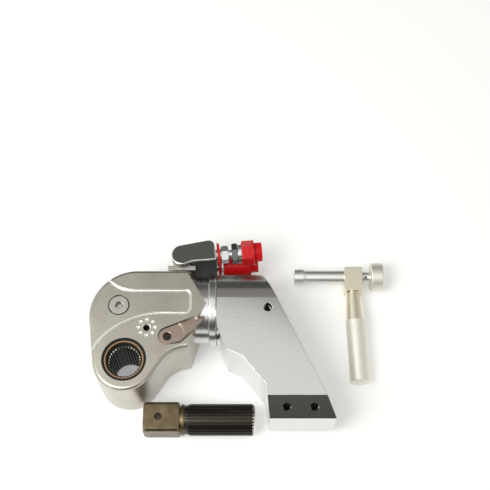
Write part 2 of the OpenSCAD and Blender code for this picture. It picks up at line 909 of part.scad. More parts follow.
module dust_cap_lower() {
    color(red) at_coupler(-1) difference() {
        union() {
            difference() {
                c_bar(lower_cap_start, lower_cap_step, cap_r);
                c_bar(lower_cap_start - 1, lower_sleeve_end + 0.4, lower_sleeve_r + air);
            }
            c_bar(lower_sleeve_end + 1 - stopper_len, lower_sleeve_end + 1, lower_socket_r - air);
            c_bar(lower_cap_step, lower_cap_end, lower_cap_r);
        }
        c_bar(lower_cap_end - lower_cap_cup_len, lower_cap_end + 1, lower_cap_cup_r);
    }
}

// Outline of the reaction arm seen along the drive axis
module arm_outline() {
    top = cyl_y + collar_r + 2;
    intersection() {
        polygon([[arm_start, top], [arm_top_x, top], [foot_x, -foot_y], [foot_near_x, -foot_y],
                 [arm_low_x, -45], [arm_low_x - 1.5, -31], [146, 5], [128.7, 12.8],
                 [arm_start, 12.8]]);
        union() {
            translate(hub_curve_at) circle(r = hub_curve_r);
            box2(arm_start, hub_curve_at[1], foot_x, top);
            box2(hub_curve_at[0] - 0.6 * hub_curve_r, -far, foot_x + 1, top);
        }
    }
}

// Section of the arm across the cylinder: round over the barrel, flat sides, bevelled foot
module arm_section() {
    circle(r = collar_r);
    low = -(cyl_y + foot_y);
    polygon([[0, -collar_r], [0, collar_r], [low + bevel_h, collar_r], [low, collar_r - bevel_d],
             [low, -collar_r + bevel_d], [low + bevel_h, -collar_r]]);
}

module reaction_arm() {
    color(silver) difference() {
        union() {
            intersection() {
                plate(-half_w, half_w) arm_outline();
                x_run(arm_start, foot_x) arm_section();
            }
            x_bar(arm_start, arm_start + 34, collar_r - 0.6);
        }
        x_run(arm_start - 1, foot_x) spline(barrel_teeth, barrel_root_r, barrel_tip_r, air);
        z_bar(0, half_w + 1, arm_hole_r, arm_hole_at);
        for (side = [0, 1], x = [-1, 1]) mirror([0, 0, side])
            translate([foot_hole_x + x * foot_pitch / 2, bevel_mid[0], bevel_mid[1]])
                rotate([bevel_a, 0, 0]) translate([0, 0, -foot_hole_len])
                    cylinder(h = foot_hole_len + 20, r = foot_hole_r);
    }
}

// Bar along the handle tube
module h_bar(x0, x1, r) { x_bar(x0, x1, r, tube_y, tube_z); }

module handle_tube() {
    color(silver) difference() {
        union() {
            h_bar(index_x, index_x + index_len, index_r);
            h_bar(index_x + index_len, block_x + block_len, tube_r);
            h_bar(block_x + block_len, block_x + block_len + 2, knob_neck_r);
        }
        h_bar(index_x - 1, block_x + block_len + 3, tube_bore_r);
        h_bar(index_x - 1, index_x + 5, tube_bore_r + 1.5);
    }
}

// Place of the grip and block: turned about the tube so that the grip's end meets the surface
module grip_frame() {
    translate([block_x + block_len / 2, tube_y, tube_z]) rotate([grip_dip, 0, 0]) children();
}

module handle_block() {
    chamfer = 1.5;
    half = block_len / 2;
    low = grip_low;
    high = block_h / 2 - block_drop;
    color(silver) difference() {
        grip_frame() intersection() {
            plate(-block_w / 2, block_w / 2)
                polygon([[-half, -low], [half, -low], [half, high - chamfer],
                         [half - chamfer, high], [chamfer - half, high], [-half, high - chamfer]]);
            rotate([90, 0, 90]) translate([0, 0, -half])
                linear_extrude(block_len) polygon([
                    [-low, -block_w / 2], [high - chamfer, -block_w / 2],
                    [high, chamfer - block_w / 2], [high, block_w / 2 - chamfer],
                    [high - chamfer, block_w / 2], [-low, block_w / 2]]);
        }
        h_bar(block_x - 1, block_x + block_len + 1, tube_r + slip);
    }
}

module handle_grip() {
    seat = grip_low + tube_r * sin(grip_lean) + slip;
    color(silver) grip_frame() translate([0, -seat, 0]) rotate([90, 0, grip_lean]) {
        cylinder(h = grip_taper, r1 = tube_r, r2 = grip_r - 0.4);
        translate([0, 0, grip_taper]) cylinder(h = grip_len - grip_taper - 1.5, r = grip_r);
        translate([0, 0, grip_len - 1.5]) cylinder(h = 1.5, r1 = grip_r, r2 = grip_r - 1.5);
    }
}

module handle_spindle() {
    start = block_x + block_len + 2.3;
    color(steel) {
        h_bar(index_x + 6, start, tube_bore_r - fit);
        h_bar(index_x + 1, index_x + 6, socket_r - 0.25);
        h_bar(start, start + knob_neck_len - 2, knob_neck_r);
        h_bar(start + knob_neck_len - 2, start + knob_neck_len - 2.2 + knob_seat, knob_pin_r);
    }
}

module handle_knob() {
    start = block_x + block_len + knob_neck_len + 0.3;
    color(silver) difference() {
        union() {
            x_cone(start, start + 1.5, knob_r - 1.5, knob_r, tube_y, tube_z);
            h_bar(start + 1.5, start + knob_len - 1.5, knob_r);
            x_cone(start + knob_len - 1.5, start + knob_len, knob_r, knob_r - 1.5, tube_y, tube_z);
        }
        h_bar(start - 1, start + knob_seat, knob_pin_r + slip);
    }
}

module knob_pin() {
    color(dark_steel) translate([block_x + block_len + 5, tube_y, tube_z]) rotate([knob_pin_turn, 0, 0])
        z_bar(knob_neck_r, knob_neck_r + 1, 1.6);
}

// Bar along the square drive
module d_bar(x0, x1, r) { x_bar(drive_x + x0, drive_x + x1, r, drive_y, drive_z); }

module drive_shaft() {
    spline_at = drive_square_len + drive_neck_len;
    root_r = drive_spline_r - 1.8;
    color(dark_steel) difference() {
        union() {
            intersection() {
                x_run(drive_x, drive_x + drive_square_len, drive_y, drive_z)
                    square(drive_square, center = true);
                union() {
                    x_cone(drive_x, drive_x + 3, 21.5, 24.5, drive_y, drive_z);
                    d_bar(3, drive_square_len + 1, 24.5);
                }
            }
            d_bar(drive_square_len, drive_square_len + 6, drive_spline_r);
            d_bar(drive_square_len + 6, spline_at, root_r - 0.5);
            intersection() {
                x_run(drive_x + spline_at, drive_x + drive_len, drive_y, drive_z)
                    spline(drive_teeth, root_r, drive_spline_r);
                union() {
                    d_bar(spline_at, drive_len - drive_end_cut, drive_spline_r + 1);
                    x_cone(drive_x + drive_len - drive_end_cut, drive_x + drive_len,
                        drive_spline_r + 1, root_r - 1, drive_y, drive_z);
                }
            }
        }
        z_bar(floor_z - 1, half_w, drive_hole_r, [drive_hole_x, drive_y]);
    }
}

housing();
rear_shroud();
shroud_screws();
stop_collar();
hub_bush_upper();
hub_bush_lower();
hub_seal_upper();
hub_seal_lower();
access_plug();
rod_gland();
rod_seal();
end_cap();
end_cap_seal();
piston();
piston_rod();
piston_seal();
piston_nut();
drive_plate_upper();
drive_plate_lower();
link_pin();
drive_pawl_pin();
drive_pawl();
drive_pawl_springs();
ratchet_wheel();
drive_sleeve();
ratchet_keys();
reaction_pawl();
pivot_shaft();
pawl_spring();
release_lever();
swivel_base();
swivel_seal();
swivel_manifold();
swivel_pin();
coupler_upper();
coupler_lower();
strap_ring_upper();
strap_ring_lower();
dust_cap_upper();
dust_cap_lower();
reaction_arm();
handle_tube();
handle_block();
handle_grip();
handle_spindle();
handle_knob();
knob_pin();
drive_shaft();
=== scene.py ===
"""Looks of a hydraulic torque wrench that lies on its side, with its drive and handle beside it."""

import math

import bpy
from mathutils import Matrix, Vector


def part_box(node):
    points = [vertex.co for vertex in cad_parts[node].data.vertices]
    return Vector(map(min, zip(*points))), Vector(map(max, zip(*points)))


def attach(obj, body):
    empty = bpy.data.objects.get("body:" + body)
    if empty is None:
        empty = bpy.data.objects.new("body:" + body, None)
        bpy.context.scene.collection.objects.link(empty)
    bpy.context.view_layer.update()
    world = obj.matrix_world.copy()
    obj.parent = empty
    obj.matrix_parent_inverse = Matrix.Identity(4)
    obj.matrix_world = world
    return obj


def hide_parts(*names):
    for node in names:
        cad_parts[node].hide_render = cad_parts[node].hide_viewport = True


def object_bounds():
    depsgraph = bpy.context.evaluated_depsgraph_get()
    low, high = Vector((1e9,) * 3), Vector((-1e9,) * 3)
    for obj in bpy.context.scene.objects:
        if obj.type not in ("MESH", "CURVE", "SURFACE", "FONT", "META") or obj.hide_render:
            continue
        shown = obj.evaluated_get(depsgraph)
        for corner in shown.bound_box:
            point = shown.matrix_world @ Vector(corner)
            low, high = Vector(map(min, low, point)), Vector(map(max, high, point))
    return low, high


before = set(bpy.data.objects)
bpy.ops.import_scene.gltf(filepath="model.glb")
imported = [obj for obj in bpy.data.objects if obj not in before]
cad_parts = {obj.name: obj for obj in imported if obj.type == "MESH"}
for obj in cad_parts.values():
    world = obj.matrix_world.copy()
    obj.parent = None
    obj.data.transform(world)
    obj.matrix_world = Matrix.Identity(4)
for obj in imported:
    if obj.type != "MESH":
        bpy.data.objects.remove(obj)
cad_low, cad_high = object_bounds()

# Camera
# It looks down on the tool from the drive side, a little in front, through a short telephoto lens.
camera_tilt = 24.5
bpy.context.scene.view_settings.view_transform = "Standard"
camera_data = bpy.data.cameras.new("camera")
camera_data.sensor_width = 36
camera_data.lens = 74
camera = bpy.data.objects.new("camera", camera_data)
camera.location = (0.1498, -0.3873, 1.2362)
camera.rotation_euler = (math.radians(camera_tilt), 0, 0)
bpy.context.scene.collection.objects.link(camera)
bpy.context.scene.camera = camera

# Floor
# A plain pale table top, level with the side that the tool lies on.
floor_size, floor_at = 60, (0.15, 0.05, cad_low[2])
bpy.ops.object.select_all(action="DESELECT")
bpy.ops.mesh.primitive_plane_add(size=floor_size, location=floor_at)
floor = bpy.context.object
floor.name = "floor"


def dial(node, settings):
    """Set inputs of a node."""
    for entry, value in settings.items():
        node.inputs[entry].default_value = value


def wire(source, output, target, entry):
    """Link an output of one node to an input of another."""
    target.id_data.links.new(source.outputs[output], target.inputs[entry])


floor_look = bpy.data.materials.new("pale_table")
floor_look.use_nodes = True
nodes = floor_look.node_tree.nodes
table = nodes["Principled BSDF"]
dial(table, {"Base Color": (0.74, 0.74, 0.73, 1), "Roughness": 0.8, "Specular IOR Level": 0.1})
glow = nodes.new("ShaderNodeEmission")
dial(glow, {"Color": (0.30, 0.30, 0.295, 1)})
path = nodes.new("ShaderNodeLightPath")
seen = nodes.new("ShaderNodeMath")
seen.operation = "MAXIMUM"
both = nodes.new("ShaderNodeAddShader")
wire(path, "Is Camera Ray", seen, 0)
wire(path, "Is Glossy Ray", seen, 1)
wire(seen, "Value", glow, "Strength")
wire(table, "BSDF", both, 0)
wire(glow, "Emission", both, 1)
wire(both, "Shader", nodes["Material Output"], "Surface")
floor.data.materials.append(floor_look)

# Light
# A wide soft box hangs over the table, leaning to the front left, and a tall panel stands at either side.
# The room is grey, and darker behind the tool and low in front, so that polished metal shows clear bands.
box_facing, box_edge, box_tone = (-0.16, -0.232, 0.9595), (0.802, 0.817), (1.0, 1.0, 0.985)
left_edge, left_tone = (-0.42, -0.50), (0.86, 0.93, 0.83)
right_edge, right_tone = (0.52, 0.60), (0.66, 0.65, 0.62)
front_tone, back_tone = (0.07, 0.066, 0.055), (0.09, 0.095, 0.088)
room_tones = ((0.12, (0.09, 0.085, 0.07)), (0.22, (0.36, 0.355, 0.34)), (0.55, (0.44, 0.45, 0.42)),
              (0.68, (0.31, 0.30, 0.28)), (0.905, (0.26, 0.245, 0.225)), (0.92, (0.10, 0.105, 0.096)))
world = bpy.data.worlds.new("studio")
bpy.context.scene.world = world
world.use_nodes = True
nodes = world.node_tree.nodes


def between(source, output, ends, kind="LINEAR"):
    """A share that goes from 0 to 1 as an output goes from one end to the other."""
    share = source.id_data.nodes.new("ShaderNodeMapRange")
    share.interpolation_type = kind
    dial(share, {"From Min": ends[0], "From Max": ends[1]})
    wire(source, output, share, "Value")
    return share


def laid_over(below, output, share, tone):
    """A tone laid over what is below it, by a share."""
    layer = below.id_data.nodes.new("ShaderNodeMix")
    layer.data_type = "RGBA"
    dial(layer, {"B": (*tone, 1)})
    wire(below, output, layer, "A")
    wire(share, "Result", layer, "Factor")
    return layer


place = nodes.new("ShaderNodeTexCoord")
facing = nodes.new("ShaderNodeVectorMath")
facing.operation = "DOT_PRODUCT"
dial(facing, {1: box_facing})
split = nodes.new("ShaderNodeSeparateXYZ")
room = nodes.new("ShaderNodeValToRGB")
room.color_ramp.elements[0].color = (*front_tone, 1)
room.color_ramp.elements[1].color = (*back_tone, 1)
for at, tone in room_tones:
    room.color_ramp.elements.new(at).color = (*tone, 1)
wire(place, "Generated", facing, 0)
wire(place, "Generated", split, "Vector")
wire(between(split, "Y", (-1, 1)), "Result", room, "Fac")
left_lit = laid_over(room, "Color", between(split, "X", left_edge), left_tone)
both_lit = laid_over(left_lit, "Result", between(split, "X", right_edge), right_tone)
all_lit = laid_over(both_lit, "Result", between(facing, "Value", box_edge, "SMOOTHSTEP"), box_tone)
wire(all_lit, "Result", nodes["Background"], "Color")

for name, size, energy, colour, spot, lean in (
        ("soft_box", 0.9, 14, (1, 1, 1), (-0.55, -0.45, 1.25), (25, -28, 0)),
        ("window", 0.4, 0.35, (0.88, 1.0, 0.86), (-0.42, 0.30, 1.3), (-10, -18, 0))):
    lamp_data = bpy.data.lights.new(name, "AREA")
    lamp_data.shape = "DISK"
    lamp_data.size = size
    lamp_data.energy = energy
    lamp_data.color = colour
    lamp = bpy.data.objects.new(name, lamp_data)
    lamp.location = spot
    lamp.rotation_euler = [math.radians(turn) for turn in lean]
    bpy.context.scene.collection.objects.link(lamp)

# Housing
# The head, neck and barrel are one aluminium-alloy forging. Its sides are ground flat, its long edges
# are rounded over, and a ball-nosed cutter has run a groove round each side panel.
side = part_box("housing")[1].z
nose_r = -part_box("housing")[0].y
crown, crown_r = (0.013, 0.0596), 0.060
flank, flank_r = (0.080, -0.025), 0.041
corner, heel, tip = (0.078, 0.016), (0.0915, 0.058), (0.100, 0.075)
brow = (0.074, crown[1] + crown_r)
left_turn, flank_turn, flank_end = 187.3, -33.5, 93
edge_round = 0.0046
# how far a cutter runs past the face that it cuts, and how close two points are one
past, weld = 0.001, 1e-6


def arc(centre, radius, start, end, steps):
    """Points round a centre from one angle to another, in degrees."""
    turns = [math.radians(start + (end - start) * i / steps) for i in range(steps + 1)]
    return [(centre[0] + radius * math.cos(t), centre[1] + radius * math.sin(t)) for t in turns]


def pick(piece):
    """Select one piece alone, so that the next operator works on it."""
    bpy.ops.object.select_all(action="DESELECT")
    piece.select_set(True)
    bpy.context.view_layer.objects.active = piece


def raise_outline(name, points, low, high, along="Z"):
    """Draw a closed line point by point, fill it and pull it out into a solid."""
    spots = [(u, v, low) if along == "Z" else (low, u, v) for u, v in points]
    pull = (0, 0, high - low) if along == "Z" else (high - low, 0, 0)
    bpy.ops.object.select_all(action="DESELECT")
    bpy.ops.mesh.primitive_plane_add(size=0.001)
    piece = bpy.context.object
    piece.name = name
    bpy.ops.object.mode_set(mode="EDIT")
    bpy.ops.mesh.merge(type="CENTER")
    bpy.ops.transform.translate(value=spots[0])
    for before, after in zip(spots, spots[1:]):
        step = [b - a for a, b in zip(before, after)]
        bpy.ops.mesh.extrude_vertices_move(TRANSFORM_OT_translate={"value": step})
    bpy.ops.mesh.select_all(action="SELECT")
    bpy.ops.mesh.edge_face_add()
    bpy.ops.mesh.extrude_region_move(TRANSFORM_OT_translate={"value": pull})
    bpy.ops.mesh.select_all(action="SELECT")
    bpy.ops.mesh.normals_make_consistent(inside=False)
    bpy.ops.object.mode_set(mode="OBJECT")
    return piece


def turned(name, profile, centre=(0, 0, 0), along="X", sides=96, ring=False):
    """Turn a piece on a lathe: a disc, or a hoop for a ring, is pulled on and sized at each step."""
    axis = {"X": (1, 0, 0), "Y": (0, 1, 0), "Z": (0, 0, 1)}[along]
    lie = {"X": (0, math.pi / 2, 0), "Y": (math.pi / 2, 0, 0), "Z": (0, 0, 0)}[along]
    at, radius = profile[0]
    spot = [c + a * at for c, a in zip(centre, axis)]
    bpy.ops.object.select_all(action="DESELECT")
    bpy.ops.mesh.primitive_circle_add(vertices=sides, radius=radius, location=spot, rotation=lie,
                                      fill_type="NOTHING" if ring else "NGON")
    piece = bpy.context.object
    piece.name = name
    bpy.ops.object.transform_apply(location=True, rotation=True, scale=True)
    bpy.ops.object.mode_set(mode="EDIT")
    bpy.ops.mesh.select_all(action="SELECT")
    for next_at, next_radius in profile[1:] + (profile[:1] if ring else []):
        bpy.ops.mesh.extrude_region_move(
            TRANSFORM_OT_translate={"value": [a * (next_at - at) for a in axis]})
        spot = [c + a * next_at for c, a in zip(centre, axis)]
        grow = next_radius / radius
        bpy.ops.transform.resize(value=[1 if a else grow for a in axis], center_override=spot)
        at, radius = next_at, next_radius
    bpy.ops.mesh.select_all(action="SELECT")
    bpy.ops.mesh.remove_doubles(threshold=weld)
    bpy.ops.mesh.normals_make_consistent(inside=False)
    bpy.ops.object.mode_set(mode="OBJECT")
    return piece


def stepped(start, *steps):
    """Profile of a stepped bar: from its start, each step runs to its own end at its own radius."""
    profile = []
    for end, radius in steps:
        profile += [(start, radius), (end, radius)]
        start = end
    return profile


def flared(face, radius, chamfer, over=0.0006):
    """Profile of the mouth of a hole: a chamfer of 45 degrees, which runs on a little over the face."""
    return [(face - chamfer, radius), (face + over, radius + chamfer + over)]


def eased(corners, ease, steps=3, ring=False):
    """The same profile with its corners rounded over."""
    points = [] if ring else [corners[0]]
    around = zip(corners[-1:] + corners[:-1], corners, corners[1:] + corners[:1])
    for before, corner_point, after in list(around) if ring else list(around)[1:-1]:
        ends = []
        for other in (before, after):
            reach = math.dist(corner_point, other)
            share = min(ease, 0.45 * reach) / reach
            ends.append([c + (o - c) * share for c, o in zip(corner_point, other)])
        for i in range(steps + 1):
            t = i / steps
            points.append(tuple((1 - t) ** 2 * a + 2 * t * (1 - t) * c + t * t * b
                                for a, c, b in zip(ends[0], corner_point, ends[1])))
    return points if ring else points + [corners[-1]]


def join(piece, tool, how="DIFFERENCE"):
    """Cut a tool's shape from a piece, or weld it on, and put the tool away."""
    change = piece.modifiers.new("joined", "BOOLEAN")
    change.operation = how
    change.solver = "EXACT"
    change.object = tool
    pick(piece)
    bpy.ops.object.modifier_apply(modifier=change.name)
    bpy.data.objects.remove(tool)


def finish_piece(piece, look, body, slot, *nodes, smooth=32):
    """Smooth a piece, keep its flat faces flat, give it its finish and let it ride on its body."""
    pick(piece)
    bpy.ops.object.shade_smooth_by_angle(angle=math.radians(smooth))
    flat = piece.modifiers.new("flat faces", "WEIGHTED_NORMAL")
    flat.keep_sharp = True
    bpy.ops.object.modifier_apply(modifier=flat.name)
    piece.data.materials.clear()
    piece.data.materials.append(look)
    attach(piece, body)
    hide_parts(*nodes)


def shader_of(look):
    """The shader of a finish."""
    return look.node_tree.nodes["Principled BSDF"]


def new_look(name, colour, stretch, rough, relief, metallic=1):
    """A finish with fine tool marks, even or drawn out along an axis, in its roughness and as a relief."""
    look = bpy.data.materials.new(name)
    look.use_nodes = True
    nodes = look.node_tree.nodes
    shader = shader_of(look)
    dial(shader, {"Base Color": (*colour, 1), "Metallic": metallic})
    place = nodes.new("ShaderNodeTexCoord")
    lay = nodes.new("ShaderNodeMapping")
    dial(lay, {"Scale": stretch if isinstance(stretch, tuple) else (stretch,) * 3})
    marks = nodes.new("ShaderNodeTexNoise")
    dial(marks, {"Scale": 1, "Detail": 5})
    shine = nodes.new("ShaderNodeMapRange")
    dial(shine, {"From Min": 0.3, "From Max": 0.7, "To Min": rough[0], "To Max": rough[1]})
    bump = nodes.new("ShaderNodeBump")
    dial(bump, {"Strength": relief, "Distance": 0.0002})
    wire(place, "Object", lay, "Vector")
    wire(lay, "Vector", marks, "Vector")
    wire(marks, "Fac", shine, "Value")
    wire(shine, "Result", shader, "Roughness")
    wire(marks, "Fac", bump, "Height")
    wire(bump, "Normal", shader, "Normal")
    return look


def add_clouds(look, dark, light, size):
    """A slow, cloudy change between two tones, as handling leaves on bare metal."""
    nodes = look.node_tree.nodes
    place = nodes.new("ShaderNodeTexCoord")
    clouds = nodes.new("ShaderNodeTexNoise")
    dial(clouds, {"Scale": 1 / size, "Detail": 4})
    tones = nodes.new("ShaderNodeValToRGB")
    tones.color_ramp.elements[0].position = 0.32
    tones.color_ramp.elements[0].color = (*dark, 1)
    tones.color_ramp.elements[1].position = 0.68
    tones.color_ramp.elements[1].color = (*light, 1)
    wire(place, "Object", clouds, "Vector")
    wire(clouds, "Fac", tones, "Fac")
    wire(tones, "Color", shader_of(look), "Base Color")


def paint_faces(piece, look, chosen):
    """Give the faces that a test picks another finish."""
    piece.data.materials.append(look)
    index = len(piece.data.materials) - 1
    for face in piece.data.polygons:
        if chosen(face):
            face.material_index = index


body_look = new_look(
    "ground_alloy", (0.51, 0.475, 0.415), stretch=(120, 1500, 1500), rough=(0.25, 0.34), relief=0.03)
add_clouds(body_look, dark=(0.47, 0.435, 0.378), light=(0.545, 0.51, 0.45), size=0.035)
polish_look = new_look(
    "polished_steel", (0.70, 0.695, 0.68), stretch=(2400, 160, 160), rough=(0.20, 0.28), relief=0.005)
# black oxide on the black parts, and painted shade where it is laid on walls of holes, seams and spline roots
black_and_shade_look = new_look(
    "black_oxide_and_painted_shade", (0.030, 0.028, 0.026), stretch=900, rough=(0.3, 0.44), relief=0.03, metallic=0.7)

head_line = (arc((0, 0), nose_r, left_turn, 360 + flank_turn, 40)
             + arc(flank, flank_r, 180 + flank_turn, flank_end, 16)
             + [corner, heel, tip, brow]
             + arc(crown, crown_r, 90, left_turn, 30)[:-1])
housing = raise_outline("housing_dressed", head_line, -side, side)
bpy.ops.object.mode_set(mode="EDIT")
bpy.ops.mesh.select_mode(type="EDGE")
bpy.ops.mesh.select_all(action="DESELECT")
bpy.ops.object.mode_set(mode="OBJECT")
for edge in housing.data.edges:
    ends = [housing.data.vertices[v].co for v in edge.vertices]
    middle = (ends[0] + ends[1]) / 2
    on_rim = abs(ends[0].z - ends[1].z) < weld
    edge.select = on_rim and not (middle.x > corner[0] and middle.y > corner[1])
bpy.ops.object.mode_set(mode="EDIT")
bpy.ops.mesh.bevel(offset=edge_round, segments=7, affect="EDGES", clamp_overlap=False)
bpy.ops.mesh.select_mode(type="VERT")
bpy.ops.object.mode_set(mode="OBJECT")

# neck, splined barrel and the round seat of the hose swivel
barrel_y = 0.0815
barrel_line = (0, barrel_y, 0)
neck_start, neck_end, neck_r = 0.060, 0.103, 0.0435
collar_end, spigot_r, barrel_end = 0.1134, 0.0405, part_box("housing")[1].x
neck_profile = stepped(neck_start, (neck_end, neck_r), (collar_end + past, spigot_r))
join(housing, turned("neck", neck_profile, barrel_line), "UNION")


def teeth(count, root, tip, centre=(0, 0)):
    """Outline of a straight-sided spline."""
    pitch = 2 * math.pi / count
    at_root, at_tip = 0.26 * pitch, 0.16 * pitch
    points = []
    for i in range(count):
        for radius, turn in ((root, -at_root), (tip, -at_tip), (tip, at_tip), (root, at_root)):
            points.append((centre[0] + radius * math.cos(i * pitch + turn),
                           centre[1] + radius * math.sin(i * pitch + turn)))
    return points


barrel_teeth, barrel_root, barrel_tip = 36, 0.0364, 0.0388
barrel_spline = teeth(barrel_teeth, barrel_root, barrel_tip, centre=(barrel_y, 0))
join(housing, raise_outline("barrel", barrel_spline, collar_end, barrel_end, along="X"), "UNION")
swivel_x, seat_low, seat_top, seat_r, seat_rim, seat_ease = 0.0675, 0.0996, 0.1265, 0.017, 0.0092, 0.0008
swivel_line = (swivel_x, 0, 0)
seat_profile = eased([(seat_low, seat_r), (seat_top, seat_r), (seat_top, seat_rim)], seat_ease)
join(housing, turned("swivel_seat", seat_profile, swivel_line, along="Y"), "UNION")

# room for the mechanism inside
chamber_half, hub_room_r, pawl_room_r = 0.026, 0.0346, 0.0115
pivot = (0.0526, 0.0305)
room_left, room_right, room_low, room_top = -0.024, 0.058, 0.0185, 0.097
back_left, back_right, back_low, shelf_x, shelf_y = -0.08, -0.01, -0.03, -0.03, 0.0865
lever_room = [(room_left, 0), (hub_room_r, 0), (hub_room_r, room_low), (room_right, room_low),
              (room_right, room_top), (room_left, room_top)]
back_room = [(back_left, back_low), (back_right, back_low), (back_right, shelf_y), (shelf_x, shelf_y),
             (shelf_x, room_top), (back_left, room_top)]
for name, points in (("hub_room", arc((0, 0), hub_room_r, 0, 358, 60)), ("lever_room", lever_room),
                     ("back_room", back_room), ("pawl_room", arc(pivot, pawl_room_r, 0, 352, 40))):
    join(housing, raise_outline(name, points, -chamber_half, chamber_half))
bore_start, rod_hole, gland_seat = 0.057, (0.065, 0.015), (0.078, 0.022)
cylinder, cap_seat = (0.146, 0.029), (0.168, 0.031)
bore_profile = stepped(bore_start, rod_hole, gland_seat, cylinder, cap_seat)
join(housing, turned("cylinder_bore", bore_profile, barrel_line))
swivel_floor, swivel_hole_r = 0.1135, 0.00905
swivel_hole = stepped(swivel_floor, (seat_top + past, swivel_hole_r))
join(housing, turned("swivel_hole", swivel_hole, swivel_line, along="Y"))

# drive bore through both sides, with the seats of the wiper rings
bore_r, seal_r, seal_depth = 0.0255, 0.0278, 0.003
drive_bore = stepped(-side - past, (-side + seal_depth, seal_r), (side - seal_depth, bore_r),
                     (side + past, seal_r))
join(housing, turned("drive_bore", drive_bore, along="Z"))

# groove round the side panel, which runs out over the back of the head
cutter_r, groove_depth, panel_corner_r = 0.00215, 0.0016, 0.006
upper_sweep, upper_sweep_r, upper_start = (0.008, 0.135), 0.044, 185
lower_sweep, lower_sweep_r, lower_end = (0.043, -0.0362), 0.097, 178
upper_corner, lower_corner = (0.0745, 0.085), (0.0745, 0.0668)
groove_line = (arc(upper_sweep, upper_sweep_r, upper_start, 270, 24)
               + arc(upper_corner, panel_corner_r, 90, 0, 8)
               + arc(lower_corner, panel_corner_r, 0, -90, 8)
               + arc(lower_sweep, lower_sweep_r, 90, lower_end, 36))
for face in (-1, 1):
    path_data = bpy.data.curves.new("groove", "CURVE")
    path_data.dimensions = "3D"
    path_data.bevel_depth = cutter_r
    path_data.bevel_resolution = 5
    path_data.use_fill_caps = True
    route = path_data.splines.new("POLY")
    route.points.add(len(groove_line) - 1)
    for point, (x, y) in zip(route.points, groove_line):
        point.co = (x, y, face * (side + cutter_r - groove_depth), 1)
    groove = bpy.data.objects.new("groove", path_data)
    bpy.context.scene.collection.objects.link(groove)
    pick(groove)
    bpy.ops.object.convert(target="MESH")
    join(housing, bpy.context.object)

# seat of the access plug, and the handle socket with its ring of dimples
plug_at, plug_r, plug_depth, plug_ledge, seat_chamfer = (-0.0097, 0.0716), 0.013, 0.012, 0.004, 0.0007
plug_seat = (stepped(chamber_half - past, (side - plug_depth, plug_r - plug_ledge))
             + [(side - plug_depth, plug_r)] + flared(side, plug_r, seat_chamfer))
join(housing, turned("plug_seat", plug_seat, (*plug_at, 0), along="Z"))
socket_at, socket_r, socket_depth, socket_chamfer = (0.0263, 0.0415), 0.00425, 0.016, 0.0012
socket_lit = side - 0.006
handle_socket = (stepped(side - socket_depth, (socket_lit, socket_r))
                 + flared(side, socket_r, socket_chamfer))
join(housing, turned("handle_socket", handle_socket, (*socket_at, 0), along="Z", sides=48))
dimple_ring, dimple_r, dimple_up = 0.0104, 0.0023, 0.001
for spot in arc(socket_at, dimple_ring, 0, 315, 7):
    bpy.ops.object.select_all(action="DESELECT")
    bpy.ops.mesh.primitive_uv_sphere_add(segments=32, ring_count=24, radius=dimple_r,
                                         location=(*spot, side + dimple_up))
    dimple = bpy.context.object
    bpy.ops.object.transform_apply(location=True, rotation=False, scale=False)
    join(housing, dimple)

# recess in which the release lever swings
lever_r, lever_back, lever_front, lever_floor = 0.0105, 111.3, 280, side - 0.007
lever_toe, lever_waist, lever_neck = (0.069, 0.024), (0.0754, 0.0305), (0.0885, 0.0435)
lever_tip, lever_crest = (0.0984, 0.0536), (0.087, 0.0556)


def lever_line(grow):
    """Outline of the release lever, grown all round."""
    return (arc(pivot, lever_r + grow, lever_back, lever_front, 16)
            + [(x + grow, y - grow) for x, y in (lever_toe, lever_waist, lever_neck)]
            + [(lever_tip[0] + grow, lever_tip[1] + grow / 2)]
            + [(lever_crest[0] - grow, lever_crest[1] + grow)])


def swung(points, turn):
    """Points turned about the lever's pivot."""
    c, s = math.cos(math.radians(turn)), math.sin(math.radians(turn))
    return [(pivot[0] + (x - pivot[0]) * c - (y - pivot[1]) * s,
             pivot[1] + (x - pivot[0]) * s + (y - pivot[1]) * c) for x, y in points]


lever_gap, lever_swing = 0.001, -7
for points in (lever_line(lever_gap), swung(lever_line(lever_gap), lever_swing)):
    join(housing, raise_outline("lever_recess", points, lever_floor, side + past))
pivot_low, pivot_hole_r = -side + 0.008, 0.00505
pivot_hole = stepped(pivot_low, (side, pivot_hole_r))
join(housing, turned("pivot_hole", pivot_hole, (*pivot, 0), along="Z", sides=48))
finish_piece(housing, body_look, "housing", "body_alloy", "housing")


def around(face, centre):
    """How far a face lies from an upright line."""
    return math.hypot(face.center.x - centre[0], face.center.y - centre[1])


def around_barrel(face):
    """How far a face lies from the barrel's axis."""
    return math.hypot(face.center.y - barrel_y, face.center.z)


def off_line(spot, line):
    """Distance from a spot to a broken line."""
    gaps = []
    for start, end in zip(line, line[1:]):
        run = (end[0] - start[0], end[1] - start[1])
        off = (spot.x - start[0], spot.y - start[1])
        share = (off[0] * run[0] + off[1] * run[1]) / (run[0] ** 2 + run[1] ** 2)
        share = max(0, min(1, share))
        gaps.append(math.hypot(off[0] - share * run[0], off[1] - share * run[1]))
    return min(gaps)
